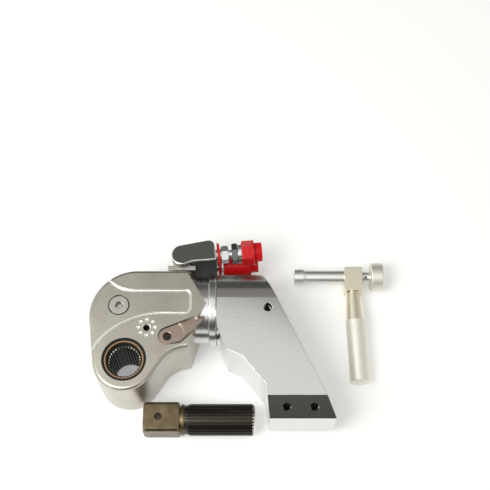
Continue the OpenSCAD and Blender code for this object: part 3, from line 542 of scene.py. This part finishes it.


# finishes of its cut faces, and painted shade on its deep and hidden faces; a face within the skin of a
# surface lies in it
skin, slack = 1e-5, 0.0001
spline_start, spline_floor, neck_seen = collar_end + 0.0012, 0.0355, 0.07
cut_look = new_look("fresh_cut", (0.90, 0.89, 0.84), stretch=900, rough=(0.16, 0.24), relief=0.02)
# a bright drilled finish for the dimples and the socket's mouth, also laid on the socket's upper wall as a
# painted highlight
dimple_and_highlight_look = new_look("drilled_dimple_and_painted_highlight", (0.90, 0.89, 0.85), stretch=900, rough=(0.36, 0.44), relief=0.02)
# painted shade: the deep walls and floor of the handle socket are black
paint_faces(housing, black_and_shade_look, lambda face: around(face, socket_at) < socket_r
            and side - socket_depth - past < face.center.z < socket_lit)
# painted shade: the barrel's splines, which show through the arm's side hole, are black
paint_faces(housing, black_and_shade_look, lambda face: face.center.x > spline_start
            and around_barrel(face) > spline_floor)
paint_faces(housing, polish_look, lambda face: face.center.x > neck_seen and abs(face.normal.x) < 0.1
            and abs(around_barrel(face) - neck_r) < 2 * slack)
paint_faces(housing, cut_look, lambda face: side - groove_depth - slack < abs(face.center.z) < side - skin
            and off_line(face.center, groove_line) < cutter_r)
# the chamfered mouth of the handle socket is drilled bright; its upper wall, down to socket_lit, gets the
# same finish as a painted highlight
paint_faces(housing, dimple_and_highlight_look, lambda face: around(face, socket_at) < socket_r + socket_chamfer
            and socket_lit < face.center.z < side - skin)
paint_faces(housing, dimple_and_highlight_look, lambda face: abs(around(face, socket_at) - dimple_ring) < dimple_r
            and side + dimple_up - dimple_r - slack < face.center.z < side - skin)

# Rear shroud
# A curved aluminium wall closes the back of the head between the two sides, held by two black
# socket screws in a lug at its top.
fine_edge = 0.0004


def merged_copy(node):
    """A copy of a solid with its triangles merged into whole faces, ready to be worked on."""
    piece = bpy.data.objects.new(node + "_dressed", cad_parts[node].data.copy())
    bpy.context.scene.collection.objects.link(piece)
    pick(piece)
    bpy.ops.mesh.customdata_custom_splitnormals_clear()
    bpy.ops.object.mode_set(mode="EDIT")
    bpy.ops.mesh.select_all(action="SELECT")
    bpy.ops.mesh.remove_doubles(threshold=weld)
    bpy.ops.mesh.dissolve_limited(angle_limit=math.radians(1))
    bpy.ops.object.mode_set(mode="OBJECT")
    return piece


def break_edges(piece, width, steps=2, turn=35):
    """Round over every edge that turns by more than an angle."""
    bevel = piece.modifiers.new("edges", "BEVEL")
    bevel.width = width
    bevel.segments = steps
    bevel.limit_method = "ANGLE"
    bevel.angle_limit = math.radians(turn)
    bevel.use_clamp_overlap = False
    pick(piece)
    bpy.ops.object.modifier_apply(modifier=bevel.name)


def finish_nodes(look, *nodes):
    """Give solids that keep their shape their finish."""
    for node in nodes:
        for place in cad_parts[node].material_slots:
            place.material = look


shroud = merged_copy("rear_shroud")
break_edges(shroud, fine_edge)
finish_piece(shroud, body_look, "housing", "body_alloy", "rear_shroud")
finish_nodes(black_and_shade_look, "shroud_screws")

# Stop collar
# A turned steel ring on the neck that the reaction arm is pushed against. Both of its rims are rounded
# and polished.
collar_r, collar_bore, collar_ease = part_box("stop_collar")[1].z, 0.04052, 0.0022


def band(start, end, inner, outer):
    """Corners of the section of a plain ring or disc."""
    return [(start, inner), (start, outer), (end, outer), (end, inner)]


collar_profile = eased(band(neck_end, collar_end, collar_bore, collar_r), collar_ease, steps=5, ring=True)
collar = turned("stop_collar_dressed", collar_profile, barrel_line, sides=160, ring=True)
finish_piece(collar, polish_look, "housing", "turned_steel", "stop_collar")

# Access plug
# A turned steel disc screwed flush into the side, with a hexagon socket for the key that takes it out.
# The seam round it and the walls of the socket are painted dark as shade, and the mouth of the socket is
# freshly cut.
plug_top, plug_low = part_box("access_plug")[1].z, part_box("access_plug")[0].z
plug_core, plug_thread_r, plug_face_r, plug_chamfer, plug_ease = 0.0105, 0.01298, 0.0121, 0.0009, 0.0003
key_flats, key_depth, key_turn, key_chamfer = 0.0086, 0.006, 8, 0.0007
key_wall, key_rim = key_flats * 0.6, key_flats * 0.75
plug_look = new_look("turned_steel", (0.58, 0.56, 0.525), stretch=1400, rough=(0.24, 0.34), relief=0.02)
plug_profile = [(plug_low, plug_core)] + stepped(plug_low, (plug_top - plug_chamfer, plug_thread_r)) + [
    (plug_top, plug_face_r), (plug_top, plug_core)]
plug = turned("access_plug_dressed", eased(plug_profile, plug_ease), (*plug_at, 0), along="Z")


def hexagon(flats, centre=(0, 0), turn=30):
    """Corners of a hexagon by its width across the flats."""
    return arc(centre, flats / 2 / math.cos(math.radians(30)), turn, turn + 300, 5)


def leans(face):
    """Whether a face lies at a slant to the drive axis, as a chamfer does."""
    return 0.3 < abs(face.normal.z) < 0.95


key_line = hexagon(key_flats, plug_at, key_turn)
join(plug, raise_outline("key_socket", key_line, plug_top - key_depth, plug_top + past))
key_mouth = flared(plug_top, key_flats / 2, key_chamfer)
join(plug, turned("key_mouth", key_mouth, (*plug_at, 0), along="Z", sides=64))
finish_piece(plug, plug_look, "housing", "turned_steel", "access_plug")
# painted shade: the seam round the plug and the walls of its key socket are black
paint_faces(plug, black_and_shade_look, lambda face: around(face, plug_at) > plug_face_r - 2 * slack
            and face.center.z < plug_top - skin
            or around(face, plug_at) < key_wall and abs(face.normal.z) < 0.3)
paint_faces(plug, cut_look, lambda face: around(face, plug_at) < key_rim and leans(face))

# Drive hub
# A hardened sleeve with a splined bore turns in two bronze bushes, and a rubber wiper ring keeps dirt out
# at each side. The ends of the teeth are ground bright.
bush_out, bush_in, bush_top, bush_low, bush_ease = 0.02548, 0.02245, 0.0455, 0.0262, 0.0007
seal_in, seal_out, lip_in, lip_top, seal_ease = 0.02552, 0.02778, 0.0246, 0.0462, 0.00025
seal_low, lip_low = side - seal_depth, bush_top + 0.0002
bronze_look = new_look(
    "bronze", (0.34, 0.22, 0.125), stretch=(700, 700, 2600), rough=(0.3, 0.42), relief=0.04)
rubber_look = new_look(
    "black_rubber", (0.008, 0.008, 0.008), stretch=600, rough=(0.6, 0.72), relief=0.05, metallic=0)
dial(shader_of(rubber_look), {"Specular IOR Level": 0.25})
for end, face in (("upper", 1), ("lower", -1)):
    bush_profile = eased(band(face * bush_low, face * bush_top, bush_in, bush_out), bush_ease, ring=True)
    bush = turned("hub_bush_" + end + "_dressed", bush_profile, along="Z", ring=True)
    finish_piece(bush, bronze_look, "housing", "bronze", "hub_bush_" + end)
    seal_profile = eased([(face * seal_low, seal_in), (face * seal_low, seal_out), (face * lip_top, seal_out),
                          (face * lip_top, lip_in), (face * lip_low, lip_in), (face * lip_low, seal_in)],
                         seal_ease, ring=True)
    seal = turned("hub_seal_" + end + "_dressed", seal_profile, along="Z", ring=True)
    finish_piece(seal, rubber_look, "housing", "rubber", "hub_seal_" + end)

sleeve_r, sleeve_half, sleeve_core, sleeve_ease = 0.0224, 0.042, 0.016, 0.0004
sleeve_teeth, sleeve_root, sleeve_tip = 30, 0.0185, 0.0203
pilot_r, pilot_depth, pilot_chamfer = 0.021, 0.005, 0.0006
tooth_end, tooth_cone_r, pilot_low = 0.0018, sleeve_root - 0.0002, sleeve_half - pilot_depth
bright_look = new_look("bright_ground", (0.88, 0.86, 0.80), stretch=1200, rough=(0.2, 0.32), relief=0.03)
sleeve_profile = eased(band(-sleeve_half, sleeve_half, sleeve_core, sleeve_r), sleeve_ease)
sleeve = turned("drive_sleeve_dressed", sleeve_profile, along="Z")
sleeve_spline = teeth(sleeve_teeth, sleeve_root, sleeve_tip)
join(sleeve, raise_outline("sleeve_bore", sleeve_spline, -sleeve_half - past, sleeve_half + past))
pilot_profile = ([(pilot_low - tooth_end, tooth_cone_r), (pilot_low, tooth_cone_r + tooth_end)]
                 + [(pilot_low, pilot_r)] + flared(sleeve_half, pilot_r, pilot_chamfer))
for face in (-1, 1):
    join(sleeve, turned("pilot", [(face * at, radius) for at, radius in pilot_profile], along="Z"))
finish_piece(sleeve, black_and_shade_look, "ratchet", "black_steel", "drive_sleeve")
paint_faces(sleeve, bright_look, lambda face: around(face, (0, 0)) < pilot_r - slack and leans(face))

# Cylinder
# A double-acting steel piston and its rod run in the barrel, between a bronze gland and a screwed end cap,
# each with its rubber seal.
steel_look = new_look(
    "fine_turned_steel", (0.57, 0.56, 0.54), stretch=(2200, 220, 220), rough=(0.2, 0.32), relief=0.03)
finish_nodes(steel_look, "piston", "piston_rod", "piston_nut")
finish_nodes(bronze_look, "rod_gland")
finish_nodes(rubber_look, "rod_seal", "piston_seal", "end_cap_seal")
end_cap = merged_copy("end_cap")
break_edges(end_cap, fine_edge)
finish_piece(end_cap, steel_look, "housing", "turned_steel", "end_cap")

# Ratchet
# Two steel plates swing about the hub and push a sprung pawl into the hardened ratchet wheel. A second
# pawl on the pivot shaft holds the wheel between strokes.
finish_nodes(plug_look, "drive_plate_upper", "drive_plate_lower", "link_pin", "drive_pawl_pin",
             "ratchet_keys", "pawl_spring")
finish_nodes(black_and_shade_look, "drive_pawl", "drive_pawl_springs", "ratchet_wheel", "reaction_pawl",
             "pivot_shaft")

# Release lever
# A flat ground lever in a recess in the side lifts the second pawl off the wheel. Its hub is milled down
# by a step, and the end of the black pivot shaft shows in its hole.
lever_low, lever_hub, lever_top, lever_edge = lever_floor + 0.0005, side - 0.0016, side - 0.0004, 0.00035
step_r, step_slope, shaft_hole_r, hole_chamfer = 0.0225, 0.0014, 0.00503, 0.0006
tongue_root, tongue_end, tongue_gap = (0.0675, 0.0478), (0.096, 0.0542), 0.008
lever_look = new_look("ground_lever", (0.405, 0.315, 0.265), stretch=700, rough=(0.25, 0.34), relief=0.03)
lever = raise_outline("release_lever_dressed", lever_line(0), lever_low, lever_top)
hub_step = [(lever_hub, step_r - step_slope), (lever_top, step_r), (lever_top + past, step_r)]
join(lever, turned("hub_step", hub_step, (*pivot, 0), along="Z", sides=128))
gap_line = [tongue_root, tongue_end] + [(x, y + tongue_gap) for x, y in (tongue_end, tongue_root)]
join(lever, raise_outline("tongue_gap", gap_line, lever_low - past, lever_top + past))
shaft_hole = [(lever_low - past, shaft_hole_r)] + flared(lever_hub, shaft_hole_r, hole_chamfer)
join(lever, turned("shaft_hole", shaft_hole, (*pivot, 0), along="Z", sides=64))
break_edges(lever, lever_edge)
finish_piece(lever, lever_look, "release_lever", "body_alloy", "release_lever")

# Hose swivel
# A turned steel base with a flanged foot turns in the top of the head. A grey blasted manifold is forked
# over its eye and tilts on a cross pin, and its machined edges are left bright.
base_edge, manifold_edge = 0.0006, 0.0021
base = merged_copy("swivel_base")
break_edges(base, base_edge)
finish_piece(base, plug_look, "swivel_base", "turned_steel", "swivel_base")
finish_nodes(rubber_look, "swivel_seal")
tilt_at, tilt_r, fork_half = (swivel_x, 0.1453), 0.014, 0.0303
manifold_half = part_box("swivel_manifold")[1].z
face_x, port_y, face_low, coupler_rise = 0.0438, 0.007, -0.007, 5
shoulder, shoulder_r, rise = (0.0348, 0.0127), 0.0085, 11.7
chin, throat, chin_turn = (0.0096, -0.011), (0.014, -0.0095), 292
face_foot = (face_x + (port_y - face_low) * math.tan(math.radians(coupler_rise)), face_low)
grey_look = new_look(
    "blasted_grey", (0.097, 0.097, 0.091), stretch=800, rough=(0.44, 0.56), relief=0.06, metallic=0.75)
edge_look = new_look(
    "machined_edge", (0.86, 0.855, 0.83), stretch=(300, 300, 1500), rough=(0.18, 0.28), relief=0.03)
manifold_line = [(tilt_at[0] + x, tilt_at[1] + y) for x, y in
                 arc((0, 0), tilt_r, rise + 90, chin_turn, 30) + [chin, throat, face_foot]
                 + arc(shoulder, shoulder_r, coupler_rise, rise + 90, 12)]
manifold = raise_outline("swivel_manifold_dressed", manifold_line, -manifold_half, manifold_half)
break_edges(manifold, manifold_edge, steps=5, turn=60)


def rectangle(left, right, low, high):
    """Corners of an upright rectangle."""
    return [(left, low), (right, low), (right, high), (left, high)]


slot_left, slot_right, slot_low, slot_high = -0.02, 0.016, -0.02, 0.03
slot_line = rectangle(tilt_at[0] + slot_left, tilt_at[0] + slot_right,
                      tilt_at[1] + slot_low, tilt_at[1] + slot_high)
join(manifold, raise_outline("fork_slot", slot_line, -fork_half, fork_half))
pin_bore_r, pin_end = 0.00803, manifold_half - 0.003
pin_bore = stepped(-pin_end, (pin_end, pin_bore_r))
join(manifold, turned("pin_bore", pin_bore, (*tilt_at, 0), along="Z", sides=64))
port_r, port_depth, port_chamfer = 0.0085, 0.013, 0.0006
coupler_at, coupler_half = (tilt_at[0] + face_x, tilt_at[1] + port_y), 0.019


def set_down(piece, spot, turns):
    """Move a piece from the origin to its place, turned about each axis by degrees."""
    piece.location = spot
    piece.rotation_euler = [math.radians(turn) for turn in turns]
    pick(piece)
    bpy.ops.object.transform_apply(location=True, rotation=True, scale=True)
    return piece


def set_on_manifold(piece, level, lean=coupler_rise):
    """Move a piece from the origin to a coupler's place, along the coupler's rising line."""
    return set_down(piece, (*coupler_at, level), (0, 0, lean))


for level in (-coupler_half, coupler_half):
    port = turned("port", [(-port_depth, port_r)] + flared(0, port_r, port_chamfer), sides=64)
    join(manifold, set_on_manifold(port, level))
finish_piece(manifold, grey_look, "swivel_manifold", "grey_steel", "swivel_manifold")
paint_faces(manifold, edge_look, lambda face: abs(face.normal.z) < 0.985
            and abs(face.center.z) > manifold_half - manifold_edge - slack)
finish_nodes(plug_look, "swivel_pin")

# Hose couplers
# Two zinc-plated steel quick couplers are screwed into the manifold, a plug above and a socket below,
# each with a chamfered hexagon to tighten it by. A step is where it ends along the coupler, and its radius;
# a hexagon is where it starts and ends, and its width across the flats.
stud_start, stud, shank, coupler_ease = 0.0002 - port_depth, (0, port_r - 0.00005), (0.0072, 0.0084), 0.0008
plug_waist, plug_body = (0.0212, 0.0065), (0.029, 0.0105)
plug_rim, plug_nose = (0.036, 0.0132), (0.047, 0.0108)
plug_nut, plug_hexagon = (0.007, 0.0166, 0.020), (0.021, 0.029, 0.024)
socket_neck, socket_sleeve, socket_mouth = (0.022, 0.0105), (0.041, 0.015), (0.026, 0.009)
socket_nut = (0.007, 0.018, 0.022)
zinc_look = new_look("zinc_plate", (0.70, 0.72, 0.72), stretch=500, rough=(0.16, 0.28), relief=0.03)
gun_look = new_look("dark_plate", (0.17, 0.18, 0.17), stretch=500, rough=(0.18, 0.28), relief=0.02)


def solid_bar(start, *steps, core_r=0.0001):
    """Profile of a stepped bar that is closed at both ends."""
    return [(start, core_r)] + stepped(start, *steps) + [(steps[-1][0], core_r)]


def nut(name, start, end, flats, turn=90):
    """A hexagon bar with its corners taken down on the lathe at both ends."""
    across = flats / 2 / math.cos(math.radians(30))
    drop = (across - flats / 2) * 0.6
    ends = [(start - slack, flats / 2 - 2 * slack), (start + drop, across + 2 * slack),
            (end - drop, across + 2 * slack), (end + slack, flats / 2 - 2 * slack)]
    piece = raise_outline(name, hexagon(flats, (0, 0), turn), start, end, along="X")
    join(piece, turned("nut_ends", ends), "INTERSECT")
    return piece


def along_coupler(face):
    """How far a face lies from the manifold, along its coupler."""
    turn = math.radians(coupler_rise)
    off = (face.center.x - coupler_at[0], face.center.y - coupler_at[1])
    return off[0] * math.cos(turn) + off[1] * math.sin(turn)


plug_bar = solid_bar(stud_start, stud, shank, plug_waist, plug_body, plug_rim, plug_nose)
plug_end = turned("coupler_upper_dressed", eased(plug_bar, coupler_ease))
join(plug_end, nut("plug_nut", *plug_nut), "UNION")
join(plug_end, nut("plug_body", *plug_hexagon), "UNION")
set_on_manifold(plug_end, coupler_half)
finish_piece(plug_end, zinc_look, "swivel_manifold", "zinc_steel", "coupler_upper")
paint_faces(plug_end, gun_look, lambda face: plug_waist[0] < along_coupler(face) < plug_body[0] - 2 * slack)
socket_bar = solid_bar(stud_start, stud, shank, socket_neck, socket_sleeve, socket_mouth)
socket_end = turned("coupler_lower_dressed", eased(socket_bar, coupler_ease))
join(socket_end, nut("socket_nut", *socket_nut), "UNION")
set_on_manifold(socket_end, -coupler_half)
finish_piece(socket_end, zinc_look, "swivel_manifold", "zinc_steel", "coupler_lower")

# Dust caps
# Moulded red plastic caps keep dirt out of the couplers. Each comes off along its coupler, and the loop of
# its strap stays behind on the neck.
red_look = new_look(
    "red_plastic", (0.56, 0.008, 0.011), stretch=250, rough=(0.16, 0.24), relief=0.01, metallic=0)
dial(shader_of(red_look), {"Specular IOR Level": 0.3, "Subsurface Weight": 0.08,
                           "Subsurface Radius": (0.002, 0.0004, 0.0003)})
loop_in, loop_out, loop_start, loop_end, loop_tilt, loop_ease = 0.0092, 0.016, 0.0021, 0.0056, 7, 0.0006
loop_profile = eased(band(loop_start, loop_end, loop_in, loop_out), loop_ease, ring=True)
for node, level in (("strap_ring_upper", coupler_half), ("strap_ring_lower", -coupler_half)):
    loop = turned(node + "_dressed", loop_profile, sides=72, ring=True)
    set_on_manifold(loop, level, loop_tilt)
    finish_piece(loop, red_look, "swivel_manifold", "red_plastic", node)

cap_start, cap_hexagon_end, cap_flats, cap_turn, cap_edge = 0.034, 0.049, 0.02844, -7, 0.0005
flange_start, flange_end, flange_r, flange_core, flange_ease = 0.0478, 0.0506, 0.017, 0.012, 0.0011
rib_count, rib_root, rib_tip, rib_start, cap_end = 24, 0.0119, 0.0126, 0.0495, 0.061
end_r, end_core, end_ease = 0.0128, 0.006, 0.0016
hollow_start, hollow = 0.033, (0.048, 0.0135)
upper_cap = nut("dust_cap_upper_dressed", cap_start, cap_hexagon_end, cap_flats, turn=90 + cap_turn)
break_edges(upper_cap, cap_edge)
flange_profile = eased(band(flange_start, flange_end, flange_core, flange_r), flange_ease)
join(upper_cap, turned("cap_flange", flange_profile), "UNION")
ribs = raise_outline("cap_ribs", teeth(rib_count, rib_root, rib_tip), rib_start, cap_end, along="X")
end_profile = eased([(rib_start, end_r), (cap_end, end_r), (cap_end, end_core)], end_ease, steps=4)
join(ribs, turned("cap_end", end_profile), "INTERSECT")
join(upper_cap, ribs, "UNION")
join(upper_cap, turned("cap_hollow", stepped(hollow_start, hollow)))
set_on_manifold(upper_cap, coupler_half)
finish_piece(upper_cap, red_look, "dust_cap_upper", "red_plastic", "dust_cap_upper")

# the lower cap, stepped from the floor of its hollow out over its skirt and round to the end of its stem
cap_floor, cap_plug, cap_hollow = 0.032, (0.0414, 0.0087), (0.009, 0.0153)
cap_skirt, cap_stem, cap_dent, cap_ease = (0.046, 0.017), (0.056, 0.012), (0.052, 0.008), 0.0009
cap_bar = solid_bar(cap_floor, cap_plug, cap_hollow, cap_skirt, cap_stem, cap_dent)
lower_cap = turned("dust_cap_lower_dressed", eased(cap_bar, cap_ease))
set_on_manifold(lower_cap, -coupler_half)
finish_piece(lower_cap, red_look, "dust_cap_lower", "red_plastic", "dust_cap_lower")

# Reaction arm
# A solid forged arm slides onto the splined barrel and turns the reaction down to its foot. It is milled
# flat on both sides, round over the barrel, and finely brushed along its length.
arm_r, arm_x, foot_x, top_y, foot_y, arm_edge = 0.0468, 0.1136, 0.2623, 0.1303, -0.0703, 0.0005
bevel_y, bevel_z = -0.0453, 0.0293
hub_curve, hub_curve_r, hub_curve_end = (0.2132, 0.065), 0.100, 211.4
hub_r, hub_end, spline_gap = arm_r - 0.0006, 0.1476, 0.0003
chest, knee, shin, heel_x, crest_x = (0.146, 0.005), (0.1755, -0.031), (0.177, -0.045), 0.180, 0.168
arm_tone, shaded_back_tone = (0.66, 0.655, 0.645), (0.30, 0.305, 0.29)
back_ends, back_dull = (0.101, 0.112), 0.26

# its round back is duller than its flat side, and is painted darker there as shade
arm_look = new_look("brushed_arm", arm_tone, stretch=(60, 1700, 1700), rough=(0.09, 0.14), relief=0.008)
arm_shader = shader_of(arm_look)
shine = arm_shader.inputs["Roughness"].links[0].from_node
nodes = arm_look.node_tree.nodes
place = nodes.new("ShaderNodeTexCoord")
split = nodes.new("ShaderNodeSeparateXYZ")
tone = nodes.new("ShaderNodeMix")
tone.data_type = "RGBA"
dial(tone, {"A": (*arm_tone, 1), "B": (*shaded_back_tone, 1)})
dull = nodes.new("ShaderNodeMath")
dull.operation = "MULTIPLY_ADD"
dial(dull, {1: back_dull})
wire(place, "Object", split, "Vector")
back = between(split, "Y", back_ends)
wire(back, "Result", tone, "Factor")
wire(back, "Result", dull, 0)
wire(shine, "Result", dull, 2)
wire(tone, "Result", arm_shader, "Base Color")
wire(dull, "Value", arm_shader, "Roughness")

hub_arc = arc(hub_curve, hub_curve_r, 180, hub_curve_end, 14)
arm_line = ([(arm_x, top_y)] + [(max(x, arm_x), y) for x, y in hub_arc]
            + [chest, knee, shin, (heel_x, foot_y), (foot_x, foot_y), (crest_x, top_y)])
arm = raise_outline("reaction_arm_dressed", arm_line, -arm_r - past, arm_r + past)
section = arc((barrel_y, 0), arm_r, 90, -90, 72) + [
    (bevel_y, -arm_r), (foot_y - past, -bevel_z), (foot_y - past, bevel_z), (bevel_y, arm_r)]
join(arm, raise_outline("arm_section", section, arm_x - past, foot_x + past, along="X"), "INTERSECT")
join(arm, turned("arm_hub", stepped(arm_x, (hub_end, hub_r)), barrel_line, sides=160), "UNION")
break_edges(arm, arm_edge)
arm_spline = teeth(barrel_teeth, barrel_root + spline_gap, barrel_tip + spline_gap, centre=(barrel_y, 0))
join(arm, raise_outline("arm_bore", arm_spline, arm_x - 2 * past, foot_x, along="X"))
side_hole, side_hole_r, side_hole_low, side_chamfer = (0.1787, 0.0688), 0.00525, 0.02, 0.0006
side_profile = [(side_hole_low, side_hole_r)] + flared(arm_r, side_hole_r, side_chamfer)
join(arm, turned("side_hole", side_profile, (*side_hole, 0), along="Z", sides=64))
foot_hole_r, foot_hole_depth, foot_chamfer, bevel_lean = 0.0046, 0.015, 0.0005, 35
foot_hole_x, foot_hole_y, foot_hole_z = (0.2007, 0.2347), -0.0578, 0.03805
foot_profile = [(-foot_hole_depth, foot_hole_r)] + flared(0, foot_hole_r, foot_chamfer)
for hole_x in foot_hole_x:
    for face, lean in ((1, bevel_lean), (-1, 180 - bevel_lean)):
        hole = turned("foot_hole", foot_profile, along="Z", sides=48)
        join(arm, set_down(hole, (hole_x, foot_hole_y, face * foot_hole_z), (lean, 0, 0)))


def in_arm_hole(face):
    """Whether a face is a wall of the splined bore, the side hole or a hole in the foot."""
    across = min(abs(face.center.x - x) for x in foot_hole_x)
    in_foot = abs(face.center.y - foot_hole_y) < foot_hole_depth + past and across < foot_hole_r + slack
    in_side = around(face, side_hole) < side_hole_r and face.center.z > side_hole_low
    in_bore = around_barrel(face) < barrel_tip + 2 * spline_gap and abs(face.normal.x) < 0.1
    return in_foot or in_side or in_bore


finish_piece(arm, arm_look, "reaction_arm", "arm_alloy", "reaction_arm", smooth=28)
# painted shade: the walls of the splined bore, the side hole and the holes in the foot are black
paint_faces(arm, black_and_shade_look, in_arm_hole)

# Handle
# An aluminium T handle, taken off and laid beside the arm: a tube with an index collar, a square block that
# carries the plain grip, and a knob on the spindle that screws it into the head.
handle_look = new_look(
    "satin_aluminium", (0.88, 0.815, 0.665), stretch=(160, 900, 900), rough=(0.33, 0.40), relief=0.012)
tube_look = new_look(
    "polished_aluminium", (0.80, 0.79, 0.76), stretch=(160, 400, 400), rough=(0.34, 0.38), relief=0.001)
knob_look = new_look(
    "matte_aluminium", (0.80, 0.785, 0.72), stretch=(700, 25, 25), rough=(0.50, 0.60), relief=0.02)
grip_look = new_look(
    "streaked_aluminium", (0.87, 0.85, 0.775), stretch=(700, 25, 700), rough=(0.58, 0.68), relief=0.02)
tube_line, tube_start, tube_ease = (0, 0.1406, -0.028), 0.2168, 0.0006
index_collar, index_step, tube_stem = (0.2293, 0.0115), (0.2313, 0.0103), (0.308, 0.0095)
tube_spigot, tube_bore_r, mouth_r, mouth_end = (0.310, 0.0075), 0.0051, 0.0066, 0.2218
tube_profile = ([(tube_start, mouth_r)]
                + stepped(tube_start, index_collar, index_step, tube_stem, tube_spigot)
                + [(tube_spigot[0], tube_bore_r), (mouth_end, tube_bore_r), (mouth_end, mouth_r)])
tube = turned("handle_tube_dressed", eased(tube_profile, tube_ease, ring=True), tube_line, ring=True)
finish_piece(tube, tube_look, "handle", "handle_alloy", "handle_tube")
handle_edge, knob_edge, taper_end = 0.0005, 0.0007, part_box("handle_grip")[1].y - 0.0397
for node, look, body, width in (("handle_block", handle_look, "handle", handle_edge),
                                ("handle_grip", grip_look, "handle", handle_edge),
                                ("handle_knob", knob_look, "handle_knob", knob_edge)):
    piece = merged_copy(node)
    break_edges(piece, width, steps=3, turn=20)
    finish_piece(piece, look, body, "handle_alloy", node)
    if node == "handle_grip":
        paint_faces(piece, handle_look, lambda face: face.center.y > taper_end and abs(face.normal.y) < 0.5)
finish_nodes(tube_look, "handle_spindle")
finish_nodes(black_and_shade_look, "knob_pin")

# Square drive
# The hardened drive shaft, pulled out and laid in front of the arm: a square with a cross hole for the
# socket's pin, a turned neck and a straight spline, all blackened and oiled.
drive_at = (-0.057, -0.027)
drive_line = (0, *drive_at)
square_half, square_start, square_end, square_edge = 0.01905, 0.021, 0.0668, 0.0006
front_rim, front_corner = (0.0209, 0.0214), (0.0241, 0.0246)
back_corner, back_rim = (0.0646, 0.0246), (0.0669, 0.0224)
drive_neck_start, drive_neck, drive_flange, drive_ease = 0.060, (0.0685, 0.0172), (0.0726, 0.0199), 0.0005
core_start, core_middle = (0.0726, 0.0184), (0.086, 0.0181)
core_end, core_tip = (0.158, 0.0178), (0.1612, 0.0160)
drive_teeth, drive_root, drive_tip, teeth_start, teeth_end = 30, 0.0182, 0.020, 0.0768, 0.1625
teeth_rise = [(0.0767, 0.0185), (0.0815, 0.0204)]
teeth_fall = [(0.1586, 0.0204), (0.1626, 0.0172)]
pin_x, pin_r, pin_mouth_r, pin_inner, pin_rim, pin_past = 0.040, 0.004, 0.0053, 0.0183, 0.0194, 0.025
oiled_look = new_look(
    "oiled_steel", (0.20, 0.16, 0.105), stretch=(300, 900, 900), rough=(0.26, 0.4),
    relief=0.05, metallic=0.9)
add_clouds(oiled_look, dark=(0.10, 0.076, 0.043), light=(0.215, 0.162, 0.095), size=0.02)
spline_look = new_look(
    "worn_spline", (0.062, 0.048, 0.032), stretch=(200, 900, 900), rough=(0.24, 0.38),
    relief=0.03, metallic=0.9)
square_line = rectangle(drive_at[0] - square_half, drive_at[0] + square_half,
                        drive_at[1] - square_half, drive_at[1] + square_half)
shaft = raise_outline("drive_shaft_dressed", square_line, square_start, square_end, along="X")
square_ends = turned("square_ends", [front_rim, front_corner, back_corner, back_rim], drive_line)
join(shaft, square_ends, "INTERSECT")
break_edges(shaft, square_edge, steps=2, turn=25)
neck_bar = (stepped(drive_neck_start, drive_neck, drive_flange)
            + [core_start, core_middle, core_end, core_tip])
join(shaft, turned("drive_neck", eased(neck_bar, drive_ease), drive_line), "UNION")
drive_spline = teeth(drive_teeth, drive_root, drive_tip, centre=drive_at)
splines = raise_outline("splines", drive_spline, teeth_start, teeth_end, along="X")
join(splines, turned("spline_ends", teeth_rise + teeth_fall, drive_line), "INTERSECT")
join(shaft, splines, "UNION")
pin_hole = [(-pin_past, pin_mouth_r), (-pin_rim, pin_mouth_r), (-pin_inner, pin_r),
            (pin_inner, pin_r), (pin_rim, pin_mouth_r), (pin_past, pin_mouth_r)]
join(shaft, turned("pin_hole", pin_hole, (pin_x, *drive_at), along="Z", sides=64))
finish_piece(shaft, oiled_look, "drive_shaft", "black_steel", "drive_shaft")
splined_from, shaded_to, shaded_r = 0.0765, 0.160, drive_tip - 0.0003
paint_faces(shaft, spline_look, lambda face: face.center.x > splined_from)
# painted shade: below the tips, the roots and flanks of the spline teeth are black
paint_faces(shaft, black_and_shade_look, lambda face: splined_from < face.center.x < shaded_to
            and math.hypot(face.center.y - drive_at[0], face.center.z - drive_at[1]) < shaded_r)
paint_faces(shaft, bright_look, lambda face: face.center.x > teeth_fall[0][0] and face.normal.x > 0.2)
